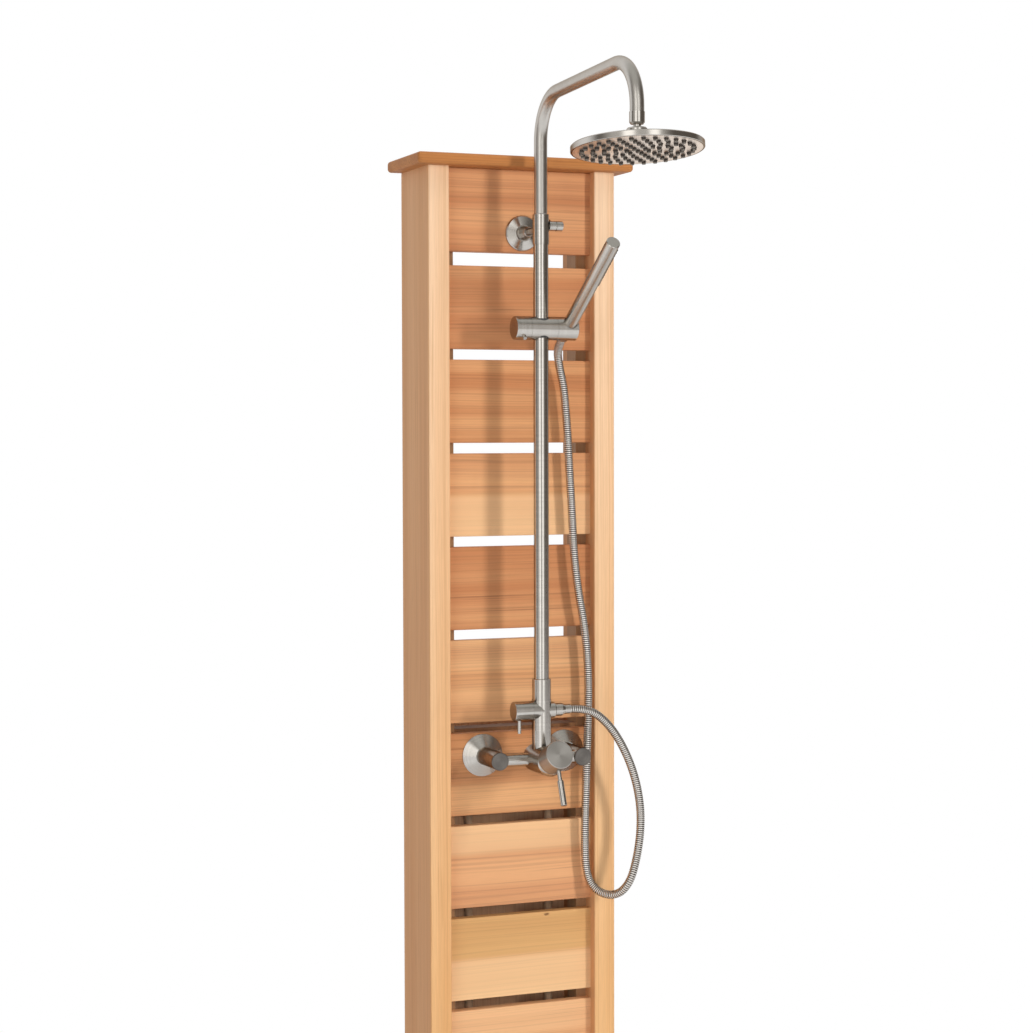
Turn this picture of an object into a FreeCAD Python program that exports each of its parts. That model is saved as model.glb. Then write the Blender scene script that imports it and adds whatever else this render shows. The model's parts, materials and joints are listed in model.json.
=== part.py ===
import FreeCAD, Part

import math
import os
from types import SimpleNamespace

import Sketcher

# Outdoor shower post: a slatted cedar column that carries an exposed stainless steel shower set.
#
# Frame: millimetres, +Z up, the front faces -Y. The origin is on the floor, midway between the two
# post boards and midway through their depth. The shower set hangs in front of the slats; its upright
# pipe stands a little to the right of the middle.

V = FreeCAD.Vector
doc = FreeCAD.newDocument("OutdoorShowerPost")

# --------------------------------------------------------------------------------------------
# Driving dimensions: name, size in millimetres or degrees, meaning
# --------------------------------------------------------------------------------------------
DIMENSIONS = [
    ("post_thick", 38.1, "post board, thickness of a 2x6"),
    ("post_depth", 139.7, "post board, width of a 2x6"),
    ("post_length", 2133.6, "post board, a seven foot length"),
    ("post_ease", 3.0, "eased long edges of the post boards"),
    ("panel_width", 263.0, "clear width between the post boards"),
    ("slat_thick", 19.0, "slat thickness"),
    ("slat_height", 140.5, "slat height"),
    ("slat_gap", 17.7, "gap between slats"),
    ("top_gap", 23.2, "wider gap under the top slat"),
    ("slat_setback", 18.0, "slat faces behind the post faces"),
    ("slat_ease", 2.0, "eased edges of the slats"),
    ("cap_thick", 19.0, "cap board thickness"),
    ("cap_overhang", 25.4, "cap overhang at the front and sides"),
    ("cap_round", 6.0, "rounded edges of the cap"),
    ("batten_thick", 19.0, "slat batten, across the panel"),
    ("batten_width", 38.0, "slat batten, front to back"),
    ("blocking_thick", 38.1, "blocking board behind the mixer slat"),
    ("blocking_height", 88.9, "blocking board height"),
    ("cover_thick", 12.0, "back cover over the supply pipes"),
    ("cover_lap", 25.0, "back cover onto each post"),
    ("cover_rise", 20.0, "back cover top above the foot of slat 6"),
    ("cover_foot", 120.0, "back cover foot above the floor"),
    ("plate_thick", 6.0, "foot plate thickness"),
    ("plate_side", 50.4, "foot plate beyond the posts, to each side"),
    ("plate_front", 70.15, "foot plate beyond the posts, to the front and back"),
    ("plate_corner", 12.0, "foot plate corner radius"),
    ("anchor_edge", 25.0, "anchor holes from the edges of the plate"),
    ("anchor_dia", 13.0, "anchor hole for an M12 bolt"),
    ("ear_thick", 5.0, "foot ear thickness"),
    ("ear_height", 80.0, "foot ear height above the plate"),
    ("ear_depth", 90.0, "foot ear, front to back"),
    ("ear_bolt_dia", 10.0, "bolt through the ears and a post"),
    ("ear_bolt_rise", 50.0, "ear bolts above the plate"),
    ("ear_bolt_span", 50.0, "ear bolts, front to back"),
    ("bolt_slack", 0.25, "clearance round a bolt"),
    ("pipe_way_dia", 44.0, "openings in the foot plate under the supply pipes"),
    ("set_shift", 6.0, "upright pipe to the right of the middle"),
    ("riser_stand", 83.0, "pipe axis in front of the slats"),
    ("riser_dia", 25.0, "riser tube outside"),
    ("riser_wall", 1.2, "riser tube wall"),
    ("arm_dia", 22.0, "overhead arm tube outside"),
    ("arm_wall", 1.2, "overhead arm tube wall"),
    ("slip", 0.1, "sliding clearance on a radius"),
    ("parting", 0.3, "gap between faces that turn on each other"),
    ("mixer_rise", 102.0, "mixer axis above the foot of slat 7"),
    ("inlet_span", 150.0, "hot to cold inlet"),
    ("arm_stand", 71.0, "mixer side arms in front of the slats"),
    ("side_arm_dia", 22.0, "mixer side arm"),
    ("barrel_dia", 30.0, "inlet barrel"),
    ("barrel_stand", 85.0, "inlet barrel front in front of the slats"),
    ("waterway_dia", 14.0, "bore of the inlets and side arms"),
    ("rosette_dia", 72.0, "inlet wall rosette"),
    ("rosette_depth", 15.0, "inlet wall rosette"),
    ("union_dia", 21.0, "half inch threaded union"),
    ("valve_dia", 47.0, "mixer valve body and its hub"),
    ("valve_back", 57.0, "valve body back in front of the slats"),
    ("pivot_stand", 116.3, "lever pivot in front of the slats"),
    ("dome_setback", 8.0, "lever pivot behind the valve body rim"),
    ("dome_gap", 1.0, "gap between dome and hub"),
    ("hub_reach", 49.0, "hub face from the lever pivot"),
    ("lever_tilt", 22.0, "hub tilted up when the water runs"),
    ("lever_place", 34.0, "lever pin from the pivot along the hub"),
    ("neck_dia", 7.0, "lever neck"),
    ("neck_length", 17.0, "lever neck"),
    ("grip_dia", 10.6, "lever grip"),
    ("grip_length", 42.0, "lever grip"),
    ("cartridge_dia", 35.0, "ceramic disc cartridge"),
    ("cross_rise", 82.6, "diverter axis above the mixer axis"),
    ("cross_dia", 32.5, "diverter body and knob"),
    ("knob_start", 19.5, "diverter body left end from the pipe axis"),
    ("knob_end", 51.0, "diverter knob end from the pipe axis"),
    ("knob_pin_dia", 6.4, "diverter knob pin"),
    ("knob_pin_length", 21.0, "diverter knob pin"),
    ("stub_dia", 27.0, "hose outlet stub"),
    ("stub_end", 23.0, "hose outlet stub end from the pipe axis"),
    ("nut_end", 51.0, "hose nut end from the pipe axis"),
    ("nut_dia", 22.0, "hose nut"),
    ("sleeve_dia", 31.0, "sleeve at the foot of the riser"),
    ("sleeve_top", 53.1, "sleeve top above the diverter axis"),
    ("bracket_rise", 33.5, "wall bracket above the foot of the top slat"),
    ("bracket_dia", 60.5, "wall bracket rosette"),
    ("collar_dia", 27.5, "riser collar"),
    ("collar_height", 50.0, "riser collar"),
    ("lock_dia", 16.4, "collar lock knob"),
    ("lock_end", 38.5, "collar lock knob end from the pipe axis"),
    ("arm_rise", 216.0, "arm corner above the wall bracket"),
    ("arm_reach", 381.0, "arm, pipe axis to head"),
    ("arm_climb", 2.14, "rise of the arm in degrees"),
    ("arm_bend", 75.0, "bend radius of the arm"),
    ("arm_drop", 86.7, "arm tip below its front corner"),
    ("arm_insert", 296.0, "arm tube foot below the wall bracket"),
    ("ferrule_dia", 23.6, "arm ferrule"),
    ("ferrule_height", 19.0, "arm ferrule"),
    ("ball_drop", 14.0, "ball centre below the ferrule"),
    ("ball_dia", 22.0, "swivel ball"),
    ("head_dia", 203.0, "rain head"),
    ("head_thick", 9.6, "rain head rim"),
    ("head_drop", 15.4, "rain head top below the ball"),
    ("head_tilt", 5.5, "rain head front edge tipped up"),
    ("nozzle_pitch", 17.0, "nozzle ring pitch"),
    ("nozzle_dia", 8.0, "nozzle"),
    ("nozzle_proud", 4.4, "nozzles below the face"),
    ("nozzle_turn", 47.0, "nozzle rings turned about the head's axis"),
    ("slider_drop", 164.5, "slider below the wall bracket"),
    ("slider_dia", 39.0, "slider barrel"),
    ("slider_left", 48.5, "slider left end from the pipe axis"),
    ("slider_knob", 22.4, "slider knob seam from the pipe axis"),
    ("holder_start", 24.7, "holder seam from the pipe axis"),
    ("holder_end", 62.0, "holder right end from the pipe axis"),
    ("handset_place", 48.0, "handset axis from the pipe axis"),
    ("handset_lean", 34.5, "handset above level, in degrees"),
    ("handset_dia", 23.0, "handset baton"),
    ("handset_length", 208.0, "handset baton"),
    ("cone_foot", 27.0, "cone nut foot from the holder axis"),
    ("hose_dia", 14.0, "hose outside"),
    ("hose_bore", 8.0, "hose bore"),
    ("supply_dia", 15.0, "supply pipe outside"),
    ("supply_foot", 150.0, "supply pipe ends above the floor"),
    ("tail_length", 15.0, "threaded tail at the foot of a supply pipe"),
    ("screw_dia", 4.5, "wood screw shank"),
]
SLATS = 13
MIXER_SLAT = 7
NOZZLE_RINGS = 5

sheet = doc.addObject("Spreadsheet::Sheet", "Sizes")
for row, (alias, value, meaning) in enumerate(DIMENSIONS, start=1):
    sheet.set(f"A{row}", meaning)
    sheet.set(f"B{row}", str(value))
    sheet.setAlias(f"B{row}", alias)
doc.recompute()


class Size:
    """A size worked out from the sheet: its formula binds features, its value places geometry."""

    def __init__(self, formula, value):
        self.formula, self.value = formula, value

    @staticmethod
    def of(number):
        return number if isinstance(number, Size) else Size(f"({float(number)})", float(number))

    def _join(self, sign, other, value):
        return Size(f"({self.formula} {sign} {Size.of(other).formula})", value)

    def __add__(self, other):
        return self._join("+", other, self.value + Size.of(other).value)

    def __sub__(self, other):
        return self._join("-", other, self.value - Size.of(other).value)

    def __mul__(self, other):
        return self._join("*", other, self.value * Size.of(other).value)

    def __truediv__(self, other):
        return self._join("/", other, self.value / Size.of(other).value)

    def __radd__(self, other):
        return Size.of(other) + self

    def __rsub__(self, other):
        return Size.of(other) - self

    def __rmul__(self, other):
        return Size.of(other) * self

    def __neg__(self):
        return Size.of(0) - self


def sine(angle):
    return Size(f"sin({angle.formula})", math.sin(math.radians(angle.value)))


def cosine(angle):
    return Size(f"cos({angle.formula})", math.cos(math.radians(angle.value)))


def tangent(angle):
    return Size(f"tan({angle.formula})", math.tan(math.radians(angle.value)))


def root(size):
    return Size(f"sqrt({size.formula})", math.sqrt(size.value))


S = SimpleNamespace(**{alias: Size(f"Sizes.{alias}", float(sheet.get(alias)))
                       for alias, _, _ in DIMENSIONS})
ZERO = Size.of(0)

# --------------------------------------------------------------------------------------------
# Places that several pieces share
# --------------------------------------------------------------------------------------------
top_z = S.plate_thick + S.post_length
slat_y = S.slat_setback - S.post_depth / 2
slat_back_y = slat_y + S.slat_thick
riser_y = slat_y - S.riser_stand
riser_x = S.set_shift
blocking_back_y = slat_back_y + S.blocking_thick
elbow_depth = 2 * S.union_dia / 3
supply_y = blocking_back_y + elbow_depth
inlet_xs = [riser_x + side * S.inlet_span / 2 for side in (-1, 1)]


def slat_foot(number):
    """Height of the lower edge of a slat, counted from 1 at the top."""
    if number == 1:
        return top_z - S.slat_height
    return top_z - 2 * S.slat_height - S.top_gap - (number - 2) * (S.slat_height + S.slat_gap)


cover_top_z = slat_foot(MIXER_SLAT - 1) + S.cover_rise
mixer_z = slat_foot(MIXER_SLAT) + S.mixer_rise
cross_z = mixer_z + S.cross_rise
bracket_z = slat_foot(1) + S.bracket_rise
slider_z = bracket_z - S.slider_drop
pivot_y = slat_y - S.pivot_stand
handset_x = riser_x + S.handset_place
head_y = riser_y - S.arm_reach
arm_corner_z = bracket_z + S.arm_rise
arm_tip_z = arm_corner_z + S.arm_reach * tangent(S.arm_climb) - S.arm_drop
ferrule_foot_z = arm_tip_z - S.ferrule_height
ball_z = ferrule_foot_z - S.ball_drop

UP = FreeCAD.Rotation()
DOWN = FreeCAD.Rotation(V(1, 0, 0), 180)
FORWARD = FreeCAD.Rotation(V(1, 0, 0), 90)
BACKWARD = FreeCAD.Rotation(V(1, 0, 0), -90)
RIGHT = FreeCAD.Rotation(V(0, 1, 0), 90)
LEFT = FreeCAD.Rotation(V(0, 1, 0), -90)
HUB_AXIS = FreeCAD.Rotation(V(1, 0, 0), 90 - S.lever_tilt.value)
LEVER_AXIS = FreeCAD.Rotation(V(1, 0, 0), 180 - S.lever_tilt.value)
HEAD_AXIS = FreeCAD.Rotation(V(1, 0, 0), -S.head_tilt.value)
HANDSET_AXIS = FreeCAD.Rotation(V(1, 0, 0), 90 - S.handset_lean.value)
SLIDER_PIN_AXIS = FreeCAD.Rotation(V(1, 0, 0), 135)
LOCK_PIN_AXIS = FreeCAD.Rotation(V(1, 0, 0), -60)

pieces = {}


# --------------------------------------------------------------------------------------------
# Ways of making pieces
# --------------------------------------------------------------------------------------------
def bind(item, **sizes):
    """Bind properties of a document object to formulas."""
    for name, size in sizes.items():
        item.setExpression(name, Size.of(size).formula)
    return item


def place(item, at, turn=UP):
    """Place an object at a bound position, turned by a fixed rotation."""
    at = [Size.of(part) for part in at]
    item.Placement = FreeCAD.Placement(V(*[part.value for part in at]), turn)
    for axis, part in zip("xyz", at):
        item.setExpression(f"Placement.Base.{axis}", part.formula)
    return item


def keep(name, item):
    """Name the finished piece: its label is its node."""
    item.Label = name
    pieces[name] = item
    return item


def box(length, width, height, at):
    """A plain box from its low corner."""
    item = doc.addObject("Part::Box", "Box")
    bind(item, Length=length, Width=width, Height=height)
    return place(item, at)


def rod(radius, length, at, turn=UP):
    """A plain cylinder from the middle of its first end."""
    item = doc.addObject("Part::Cylinder", "Rod")
    bind(item, Radius=radius, Height=length)
    return place(item, at, turn)


def fuse(*items):
    item = doc.addObject("Part::MultiFuse", "Joined")
    item.Shapes = list(items)
    item.Refine = True
    return item


def cut(base, *tools):
    item = doc.addObject("Part::Cut", "Trimmed")
    item.Base = base
    item.Tool = tools[0] if len(tools) == 1 else fuse(*tools)
    item.Refine = True
    return item


def group(*items):
    """Like pieces that share one node, still separate solids."""
    item = doc.addObject("Part::Compound", "Group")
    item.Links = list(items)
    return item


def plane(body, role):
    return next(f for f in body.Origin.OriginFeatures if f.Role == role)


def new_sketch(body, role):
    sketch = body.newObject("Sketcher::SketchObject", "Sketch")
    sketch.AttachmentSupport = (plane(body, role), [""])
    sketch.MapMode = "FlatFace"
    return sketch


def pin_point(sketch, shape, end, across, along):
    """Fix one end of a sketch edge by two bound distances from the sketch's origin."""
    for size, kind, axis in ((across, "DistanceX", -2), (along, "DistanceY", -1)):
        size = Size.of(size)
        if abs(size.value) < 1e-9:
            sketch.addConstraint(Sketcher.Constraint("PointOnObject", shape, end, axis))
            continue
        number = sketch.addConstraint(Sketcher.Constraint(kind, -1, 1, shape, end, size.value))
        sketch.setExpression(f"Constraints[{number}]", size.formula)


def lathe(section, at, turn=UP, arcs=None):
    """Turn a closed section about its own Z axis.

    section lists the corners as (radius, place along the axis); arcs gives the centre height of each
    edge that is an arc about a point on the axis, keyed by the edge's number.
    """
    arcs = arcs or {}
    corners = [(Size.of(r), Size.of(z)) for r, z in section]
    body = doc.addObject("PartDesign::Body", "Turned")
    sketch = new_sketch(body, "XZ_Plane")
    count = len(corners)
    for number, (radius, along) in enumerate(corners):
        next_radius, next_along = corners[(number + 1) % count]
        start, end = V(radius.value, along.value, 0), V(next_radius.value, next_along.value, 0)
        if number in arcs:
            centre = V(0, Size.of(arcs[number]).value, 0)
            reach = (start - centre).Length
            middle = centre + ((start + end) / 2 - centre).normalize() * reach
            sketch.addGeometry(Part.Arc(start, middle, end), False)
        else:
            sketch.addGeometry(Part.LineSegment(start, end), False)
    first, last = {}, {}
    for number in range(count):
        turned_over = False
        if number in arcs:
            begin = V(corners[number][0].value, corners[number][1].value, 0)
            turned_over = sketch.getPoint(number, 1).distanceToPoint(begin) > 1e-6
        first[number], last[number] = (2, 1) if turned_over else (1, 2)
    for number in range(count):
        after = (number + 1) % count
        sketch.addConstraint(Sketcher.Constraint("Coincident", number, last[number],
                                                 after, first[after]))
        pin_point(sketch, number, first[number], *corners[number])
    for number, height in arcs.items():
        radius, along = corners[number]
        reach = root(radius * radius + (along - height) * (along - height))
        datum = sketch.addConstraint(Sketcher.Constraint("Radius", number, reach.value))
        sketch.setExpression(f"Constraints[{datum}]", reach.formula)
    turning = body.newObject("PartDesign::Revolution", "Turning")
    turning.Profile = sketch
    turning.ReferenceAxis = (sketch, ["V_Axis"])
    turning.Angle = 360
    return place(body, at, turn)


def tube(outer, inner, length, at, turn=UP):
    """A straight tube from the middle of its first end."""
    return lathe([(inner, 0), (outer, 0), (outer, length), (inner, length)], at, turn)


def board(length, width, height, at, ease, along="z"):
    """A sawn board whose edges parallel to one axis are eased, or all its edges."""
    body = doc.addObject("PartDesign::Body", "Board")
    blank = body.newObject("PartDesign::AdditiveBox", "Blank")
    bind(blank, Length=length, Width=width, Height=height)
    doc.recompute()
    index = {"x": 0, "y": 1, "z": 2, "all": None}[along]
    names = []
    for number, edge in enumerate(blank.Shape.Edges, start=1):
        direction = edge.Vertexes[-1].Point - edge.Vertexes[0].Point
        if index is None or abs(direction[index]) > 0.9 * direction.Length:
            names.append(f"Edge{number}")
    rounding = body.newObject("PartDesign::Fillet", "Eased")
    rounding.Base = (blank, names)
    bind(rounding, Radius=ease)
    return place(body, at)


def copies(template, places):
    """Separate solids of one turned piece, as (point, rotation) pairs."""
    doc.recompute()
    shape = template.Shape.copy()
    shape.Placement = FreeCAD.Placement()
    solids = []
    for at, turn in places:
        solid = shape.copy()
        solid.Placement = FreeCAD.Placement(V(*[Size.of(part).value for part in at]), turn)
        solids.append(solid)
    item = doc.addObject("Part::Feature", "Copies")
    item.Shape = Part.makeCompound(solids)
    return item


# --------------------------------------------------------------------------------------------
# Cedar column
# --------------------------------------------------------------------------------------------
def screw(length):
    """A countersunk wood screw, head uppermost at its origin, shank down -Z."""
    shank = S.screw_dia / 2
    return lathe([(0, 0), (S.screw_dia, 0), (shank, -S.screw_dia * 0.6), (shank, -length + 4),
                  (0, -length)], (0, 0, 0))


def ear_bolt_places():
    return [(y, S.plate_thick + S.ear_bolt_rise)
            for y in (-S.ear_bolt_span / 2, S.ear_bolt_span / 2)]


def make_posts():
    """Two upright boards, standing in the ears of the foot plate."""
    for name, low_x in (("post_board_left", -S.panel_width / 2 - S.post_thick),
                        ("post_board_right", S.panel_width / 2)):
        blank = board(S.post_thick, S.post_depth, S.post_length,
                      (low_x, -S.post_depth / 2, S.plate_thick), S.post_ease)
        holes = [rod(S.ear_bolt_dia / 2 + S.bolt_slack, S.post_thick + 2, (low_x - 1, y, z), RIGHT)
                 for y, z in ear_bolt_places()]
        keep(name, cut(blank, *holes))


def make_cap():
    """The cap board, rounded all round, held by two screws into the end of each post."""
    width = S.panel_width + 2 * S.post_thick + 2 * S.cap_overhang
    depth = S.post_depth + S.cap_overhang
    keep("cap_board", board(width, depth, S.cap_thick,
                            (-width / 2, -S.post_depth / 2 - S.cap_overhang, top_z),
                            S.cap_round, "all"))
    post_x = S.panel_width / 2 + S.post_thick / 2
    spots = [((x, y, top_z + S.cap_thick), UP)
             for x in (-post_x, post_x) for y in (-S.post_depth / 4, S.post_depth / 4)]
    keep("cap_screws", copies(screw(S.cap_thick + 38), spots))


def make_slats():
    """Thirteen slats between the posts; slat 1 takes the bracket stud, slat 7 the mixer unions."""
    def slat(number):
        return board(S.panel_width, S.slat_thick, S.slat_height,
                     (-S.panel_width / 2, slat_y, slat_foot(number)), S.slat_ease, "x")

    def hole(radius, x, z):
        return rod(radius, S.slat_thick + 2, (x, slat_y - 1, z), BACKWARD)

    keep("slat_01", cut(slat(1), hole(4 + S.bolt_slack, riser_x, bracket_z)))
    inlets = [hole(S.union_dia / 2 + 1, x, mixer_z) for x in inlet_xs]
    keep("slat_07", cut(slat(MIXER_SLAT), *inlets))
    keep("slats_02_to_06", group(*[slat(number) for number in range(2, MIXER_SLAT)]))
    keep("slats_08_to_13", group(*[slat(number) for number in range(MIXER_SLAT + 1, SLATS + 1)]))


def make_battens():
    """Battens on the inner post faces, screwed to the posts; the slats are screwed from behind.

    The screws of the battens and of the back cover share a node.
    """
    foot = slat_foot(SLATS)
    length = top_z - foot
    inner_x = S.panel_width / 2 - S.batten_thick
    keep("slat_battens", group(*[box(S.batten_thick, S.batten_width, length,
                                     (low_x, slat_back_y, foot))
                                 for low_x in (-S.panel_width / 2, inner_x)]))

    middle_x = S.panel_width / 2 - S.batten_thick / 2
    back_y = slat_back_y + S.batten_width
    spots = []
    for number in range(1, SLATS + 1):
        for x in (-middle_x, middle_x):
            for share in (0.25, 0.75):
                height = slat_foot(number) + S.slat_height * share
                spots.append(((x, back_y, height), BACKWARD))
    keep("slat_screws", copies(screw(S.batten_width + S.slat_thick - 6), spots))

    spots = []
    for step in range(5):
        height = foot + length * (0.06 + 0.22 * step)
        for x, turn in ((-inner_x, RIGHT), (inner_x, LEFT)):
            spots.append(((x, back_y - S.batten_width / 2, height), turn))
    batten_screws = copies(screw(S.batten_thick + 25), spots)

    spots = []
    cover_height = cover_top_z - S.cover_foot
    for step in range(5):
        height = S.cover_foot + cover_height * (0.04 + 0.23 * step)
        for side in (-1, 1):
            x = side * (S.panel_width + S.cover_lap) / 2
            spots.append(((x, S.post_depth / 2 + S.cover_thick, height), BACKWARD))
    cover_screws = copies(screw(S.cover_thick + 25), spots)
    keep("frame_screws", group(batten_screws, cover_screws))


def make_cover():
    """A cover on the backs of the posts hides the supply pipes behind the lower slats."""
    width = S.panel_width + 2 * S.cover_lap
    keep("back_cover", board(width, S.cover_thick, cover_top_z - S.cover_foot,
                             (-width / 2, S.post_depth / 2, S.cover_foot), S.slat_ease, "all"))


def make_blocking():
    """A board between the battens behind slat 7: the wall elbows are fixed to its back."""
    length = S.panel_width - 2 * S.batten_thick
    blank = board(length, S.blocking_thick, S.blocking_height,
                  (-length / 2, slat_back_y, mixer_z - S.blocking_height / 2), S.slat_ease, "x")
    holes = [rod(S.union_dia / 2 + 1, S.blocking_thick + 2, (x, slat_back_y - 1, mixer_z), BACKWARD)
             for x in inlet_xs]
    keep("blocking_board", cut(blank, *holes))


def make_foot():
    """A stainless foot plate: four anchor holes, two pipe openings and two welded ears a post."""
    post_in, post_out = S.panel_width / 2, S.panel_width / 2 + S.post_thick
    half_width, half_depth = post_out + S.plate_side, S.post_depth / 2 + S.plate_front
    plate = board(2 * half_width, 2 * half_depth, S.plate_thick,
                  (-half_width, -half_depth, 0), S.plate_corner)
    ears = [box(S.ear_thick, S.ear_depth, S.ear_height + 1,
                (x, -S.ear_depth / 2, S.plate_thick - 1))
            for x in (-post_out - S.ear_thick, -post_in, post_in - S.ear_thick, post_out)]
    anchor_x, anchor_y = half_width - S.anchor_edge, half_depth - S.anchor_edge
    anchors = [rod(S.anchor_dia / 2, S.plate_thick + 2, (x, y, -1))
               for x in (-anchor_x, anchor_x) for y in (-anchor_y, anchor_y)]
    pipe_ways = [rod(S.pipe_way_dia / 2, S.plate_thick + 2, (x, supply_y, -1)) for x in inlet_xs]
    grip = S.post_thick + 2 * S.ear_thick
    bolt_starts = (-post_out - S.ear_thick, post_in - S.ear_thick)
    holes = [rod(S.ear_bolt_dia / 2 + S.bolt_slack, grip + 2, (x - 1, y, z), RIGHT)
             for x in bolt_starts for y, z in ear_bolt_places()]
    keep("foot_plate", cut(fuse(plate, *ears), *anchors, *pipe_ways, *holes))

    head, shank = S.ear_bolt_dia * 0.8, S.ear_bolt_dia / 2
    bolt = lathe([(0, -head), (head, -head), (head, 0), (shank, 0), (shank, grip), (head, grip),
                  (head, grip + head), (0, grip + head)], (0, 0, 0))
    keep("foot_bolts", copies(bolt, [((x, y, z), RIGHT)
                                     for x in bolt_starts for y, z in ear_bolt_places()]))


# --------------------------------------------------------------------------------------------
# Supply behind the slats
# --------------------------------------------------------------------------------------------
def make_supply():
    """Two pipes rise to wall elbows behind the blocking; unions lead through to the mixer."""
    union_start = slat_y - S.rosette_depth - 2
    elbows, pipes = [], []
    for x in inlet_xs:
        flange = rod(S.union_dia, 4, (x, blocking_back_y, mixer_z), BACKWARD)
        barrel = rod(elbow_depth, elbow_depth * 1.6, (x, blocking_back_y, mixer_z), BACKWARD)
        socket = rod(S.supply_dia / 2 + 3, 34, (x, supply_y, mixer_z - 34))
        pipe_bore = rod(S.supply_dia / 2, 24, (x, supply_y, mixer_z - 35))
        union_bore = rod(S.union_dia / 2, 12, (x, blocking_back_y - 1, mixer_z), BACKWARD)
        elbows.append(cut(fuse(flange, barrel, socket), pipe_bore, union_bore))
        pipe, bore, tail = S.supply_dia / 2, S.supply_dia / 2 - 1, S.tail_length
        top = mixer_z - 11 - S.supply_foot
        pipes.append(lathe([(bore, 0), (S.union_dia / 2, 0), (S.union_dia / 2, tail),
                            (S.union_dia / 2 + 3, tail), (S.union_dia / 2 + 3, tail + 8),
                            (pipe, tail + 8), (pipe, top), (bore, top)],
                           (x, supply_y, S.supply_foot)))
    keep("wall_elbows", group(*elbows))
    keep("supply_pipes", group(*pipes))
    unions = [tube(S.union_dia / 2, S.waterway_dia / 2, blocking_back_y + 11 - union_start,
                   (x, union_start, mixer_z), BACKWARD) for x in inlet_xs]
    keep("wall_unions", group(*unions))


# --------------------------------------------------------------------------------------------
# Mixer
# --------------------------------------------------------------------------------------------
def make_mixer_body():
    """Valve body, two side arms and two inlet barrels, welded into one hollow piece."""
    valve = S.valve_dia / 2
    rim_stand = S.pivot_stand + S.dome_setback
    arm_y = slat_y - S.arm_stand
    body = rod(valve, rim_stand - S.valve_back, (riser_x, slat_y - S.valve_back, mixer_z), FORWARD)
    arms = rod(S.side_arm_dia / 2, S.inlet_span, (riser_x - S.inlet_span / 2, arm_y, mixer_z), RIGHT)
    barrel_start = S.rosette_depth - 4
    barrels = [rod(S.barrel_dia / 2, S.barrel_stand - barrel_start - 3,
                   (x, slat_y - barrel_start, mixer_z), FORWARD) for x in inlet_xs]
    chamber = rod(S.cartridge_dia / 2 + S.slip, rim_stand,
                  (riser_x, slat_y - S.valve_back - 12, mixer_z), FORWARD)
    neck = rod(S.cartridge_dia / 2 + 3, 30,
               (riser_x, slat_y - S.pivot_stand + 4, mixer_z), FORWARD)
    channel = rod(S.waterway_dia / 2, S.inlet_span,
                  (riser_x - S.inlet_span / 2, arm_y, mixer_z), RIGHT)
    bores = [rod(S.union_dia / 2, S.barrel_stand - 3 - 4, (x, slat_y, mixer_z), FORWARD)
             for x in inlet_xs]
    outlet = rod(S.waterway_dia / 2, valve + 2, (riser_x, riser_y, mixer_z))
    keep("mixer_body", cut(fuse(body, arms, *barrels), chamber, neck, channel, outlet, *bores))

    caps = [lathe([(0, 0), (S.barrel_dia / 2, 0), (S.barrel_dia / 2, 2.2),
                   (S.barrel_dia / 2 - 0.8, 3), (0, 3)],
                  (x, slat_y - S.barrel_stand + 3, mixer_z), FORWARD) for x in inlet_xs]
    keep("inlet_caps", group(*caps))

    rosette, bore = S.rosette_dia / 2, S.barrel_dia / 2 + S.slip
    section = [(bore, S.rosette_depth - 1.2), (bore, S.rosette_depth), (bore + 1.5, S.rosette_depth),
               (rosette, 1.6), (rosette, 0), (rosette - 1.2, 0)]
    keep("inlet_rosettes", group(*[lathe(section, (x, slat_y, mixer_z), FORWARD)
                                   for x in inlet_xs]))


def make_cartridge():
    """Cartridge, the dome that holds it down, and the turning carrier under the lever stem."""
    at = (riser_x, pivot_y, mixer_z)
    back = S.pivot_stand - S.valve_back - 12
    keep("cartridge", lathe([(0, -back), (S.cartridge_dia / 2, -back), (S.cartridge_dia / 2, -5),
                             (0, -5)], at, FORWARD))
    rim = root(S.valve_dia * S.valve_dia / 4 + S.dome_setback * S.dome_setback)
    inner = rim - 3
    mouth, mouth_in = 0.6, 0.8
    skirt = S.cartridge_dia / 2 + 3
    seat = root(inner * inner - (skirt - 3) * (skirt - 3))
    keep("valve_dome", lathe(
        [(skirt - 3, -2), (skirt, -2), (skirt, S.dome_setback), (S.valve_dia / 2, S.dome_setback),
         (rim * mouth, rim * mouth_in), (inner * mouth, inner * mouth_in), (skirt - 3, seat)],
        at, FORWARD, arcs={3: 0, 5: 0}))
    keep("cartridge_carrier", lathe([(0, -4.7), (12, -4.7), (12, -2.2), (0, -2.2)], at, FORWARD))


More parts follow.
